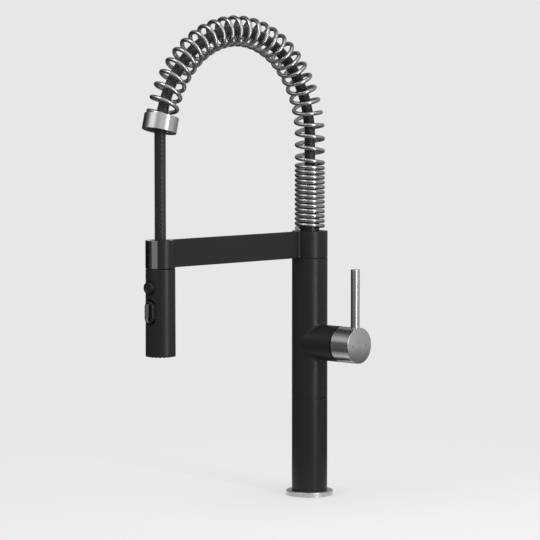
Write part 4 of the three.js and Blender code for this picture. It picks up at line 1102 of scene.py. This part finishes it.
# What stands round the faucet, by degrees to the right of the camera as seen from the faucet: how
# light it is at the level of the horizon, and a third of the way up from there.
LEVEL = [
    (-180, 0.20), (-165, 0.04), (-115, 0.0), (-100, 0.01), (-88, 0.08), (-72, 0.12), (-40, 0.14),
    (-12, 0.20), (12, 0.45), (36, 0.70), (50, 0.50), (57, 0.36), (80, 0.62), (120, 0.34),
    (180, 0.20),
]
RAISED = [
    (-180, 0.32), (-150, 0.22), (-122, 0.25), (-105, 0.32), (-85, 0.60), (-70, 1.6),
    (-42, 1.65), (-30, 0.9), (-18, 0.70), (-8, 0.70), (8, 1.00), (24, 1.00), (38, 0.80),
    (48, 0.90), (58, 0.32), (95, 0.60), (130, 0.40), (180, 0.32),
]
BACKDROP = 0.80
CEILING = 0.10
FILL = 0.85  # how light the room is for a surface that scatters what it gets

# Where one look of the room gives way to the next: the first two by a direction's own Z, the last
# by how straight behind the faucet it is.
TO_RAISED = (0.18, 0.46)
TO_CEILING = (0.62, 0.88)
TO_BACKDROP = (0.985, 0.996)


def seen_from_faucet(tree, vector):
    """A direction turned so that +X is towards the camera, taken apart into its angle, as a share
    of a turn, and its Z."""
    turned = add(tree, "ShaderNodeVectorRotate", {
        "Vector": vector, "Angle": -math.atan2(TOWARDS_CAMERA.y, TOWARDS_CAMERA.x),
    }, rotation_type="Z_AXIS").outputs[0]
    parts = add(tree, "ShaderNodeSeparateXYZ", {0: turned}).outputs
    angle = calculate(tree, "ARCTAN2", parts["Y"], parts["X"])
    return remap(tree, angle, 0, 1, -math.pi, math.pi), parts["Z"]


def greys_round(tree, place, greys):
    """The grey that an angle has in one of the lists above."""
    ramp = add(tree, "ShaderNodeValToRGB", {0: place})
    stops = ramp.color_ramp.elements
    for degrees, _ in greys[1:-1]:
        stops.new((degrees + 180) / 360)
    for stop, (_, grey) in zip(stops, greys):
        stop.color = (grey, grey, grey, 1)
    return ramp.outputs[0]


def kinds_of_ray(tree):
    """The ray's kinds, and whether it is one that metal, gloss or glass sends out."""
    rays = add(tree, "ShaderNodeLightPath").outputs
    return rays, calculate(tree, "MAXIMUM", rays["Is Glossy Ray"], rays["Is Transmission Ray"])


def world():
    """A pale backdrop behind the faucet, a plain fill for what scatters light, and for what
    mirrors it the backdrop in the middle of a room with darker and lighter sides."""
    made = bpy.data.worlds.new("studio")
    bpy.context.scene.world = made
    made.use_nodes = True
    made.cycles.sampling_method = "NONE"  # every ray that reaches the room carries its own kind
    tree = made.node_tree
    direction = coordinates(tree, "Generated")
    place, height = seen_from_faucet(tree, direction)
    walls = mixed(tree, remap(tree, height, 0, 1, *TO_RAISED),
                  greys_round(tree, place, LEVEL), greys_round(tree, place, RAISED))
    room = mixed(tree, remap(tree, height, 0, 1, *TO_CEILING), walls, CEILING)
    rays, mirrored = kinds_of_ray(tree)
    away = add(tree, "ShaderNodeVectorMath", {0: direction, 1: -TOWARDS_CAMERA},
               operation="DOT_PRODUCT").outputs["Value"]
    behind = calculate(tree, "MULTIPLY", mirrored, remap(tree, away, 0, 1, *TO_BACKDROP))
    backdrop = calculate(tree, "MAXIMUM", rays["Is Camera Ray"], behind)
    scattered = mixed(tree, rays["Is Diffuse Ray"], room, FILL)
    tree.links.new(
        mixed(tree, backdrop, scattered, BACKDROP), tree.nodes["Background"].inputs["Color"])


# As the camera and metal see it, the floor gives off part of its light itself, so that the lamps
# don't bleach it.
FLOOR_SHADE = 0.40
FLOOR_GLOW = 0.40
FAR_FLOOR = 0.09  # what metal sees between the lit part and the foot of the walls
FLOOR_RINGS = [0, 0.4, 1.0, 2.0, 5.0, 40.0]  # metres

# Where one look of the floor gives way to the next, in metres from the column.
TO_FAR_SEEN = (0.25, 0.75)
TO_FAR_MIRRORED = (0.04, 0.24)
TO_WALLS = (0.8, 1.5)


def floor_material():
    material = bpy.data.materials.new("floor")
    material.use_nodes = True
    tree = material.node_tree
    tree.nodes.remove(tree.nodes["Principled BSDF"])
    rays, mirrored = kinds_of_ray(tree)
    seen = calculate(tree, "MAXIMUM", rays["Is Camera Ray"], mirrored)
    scatter = add(tree, "ShaderNodeBsdfDiffuse", {
        "Color": mixed(tree, seen, BACKDROP, FLOOR_SHADE)}).outputs[0]
    glow = add(tree, "ShaderNodeEmission", {0: mixed(tree, seen, 0, FLOOR_GLOW)}).outputs[0]
    near = add(tree, "ShaderNodeAddShader", {0: scatter, 1: glow}).outputs[0]
    point = add(tree, "ShaderNodeNewGeometry").outputs["Position"]
    distance = add(tree, "ShaderNodeVectorMath", {0: point}, operation="LENGTH").outputs["Value"]
    outer = mixed(tree, remap(tree, distance, 0, 1, *TO_WALLS), FAR_FLOOR,
                  greys_round(tree, seen_from_faucet(tree, point)[0], LEVEL))
    far = add(tree, "ShaderNodeEmission", {0: mixed(tree, mirrored, BACKDROP, outer)}).outputs[0]
    share = mixed(tree, mirrored, remap(tree, distance, 0, 1, *TO_FAR_SEEN),
                  remap(tree, distance, 0, 1, *TO_FAR_MIRRORED))
    both = add(tree, "ShaderNodeMixShader", {0: share, 1: near, 2: far}).outputs[0]
    tree.links.new(both, tree.nodes["Material Output"].inputs[0])
    return material


def floor():
    """A pale floor that keeps the faucet's shadow and runs out into the backdrop. Metal sees it
    pale near the faucet, and as part of the room farther out."""
    mesh = bmesh.new()
    skin(mesh, [ring(radius / MM, 0, SMALL_SIDES) for radius in FLOOR_RINGS])
    bmesh.ops.remove_doubles(mesh, verts=mesh.verts, dist=WELD)
    data = bpy.data.meshes.new("floor")
    mesh.to_mesh(data)
    mesh.free()
    data.transform(Matrix.Scale(MM, 4))
    data.materials.append(floor_material())
    made = in_scene("floor", data)


# ---------------- the scene

camera()
carried_nodes()
for build in (
    base_flange, base_column, valve_body, bonnet_ring, handle_cap, handle_lever, cap_marks,
    dock_arm, dock_liner, coil_spring, arch_hose, drop_hose, spring_collar, handset_body,
    spray_button, switch_slider, switch_grip, nozzle_plate,
):
    build()
floor()
lamps()
world()
bpy.context.scene.view_settings.view_transform = "Standard"
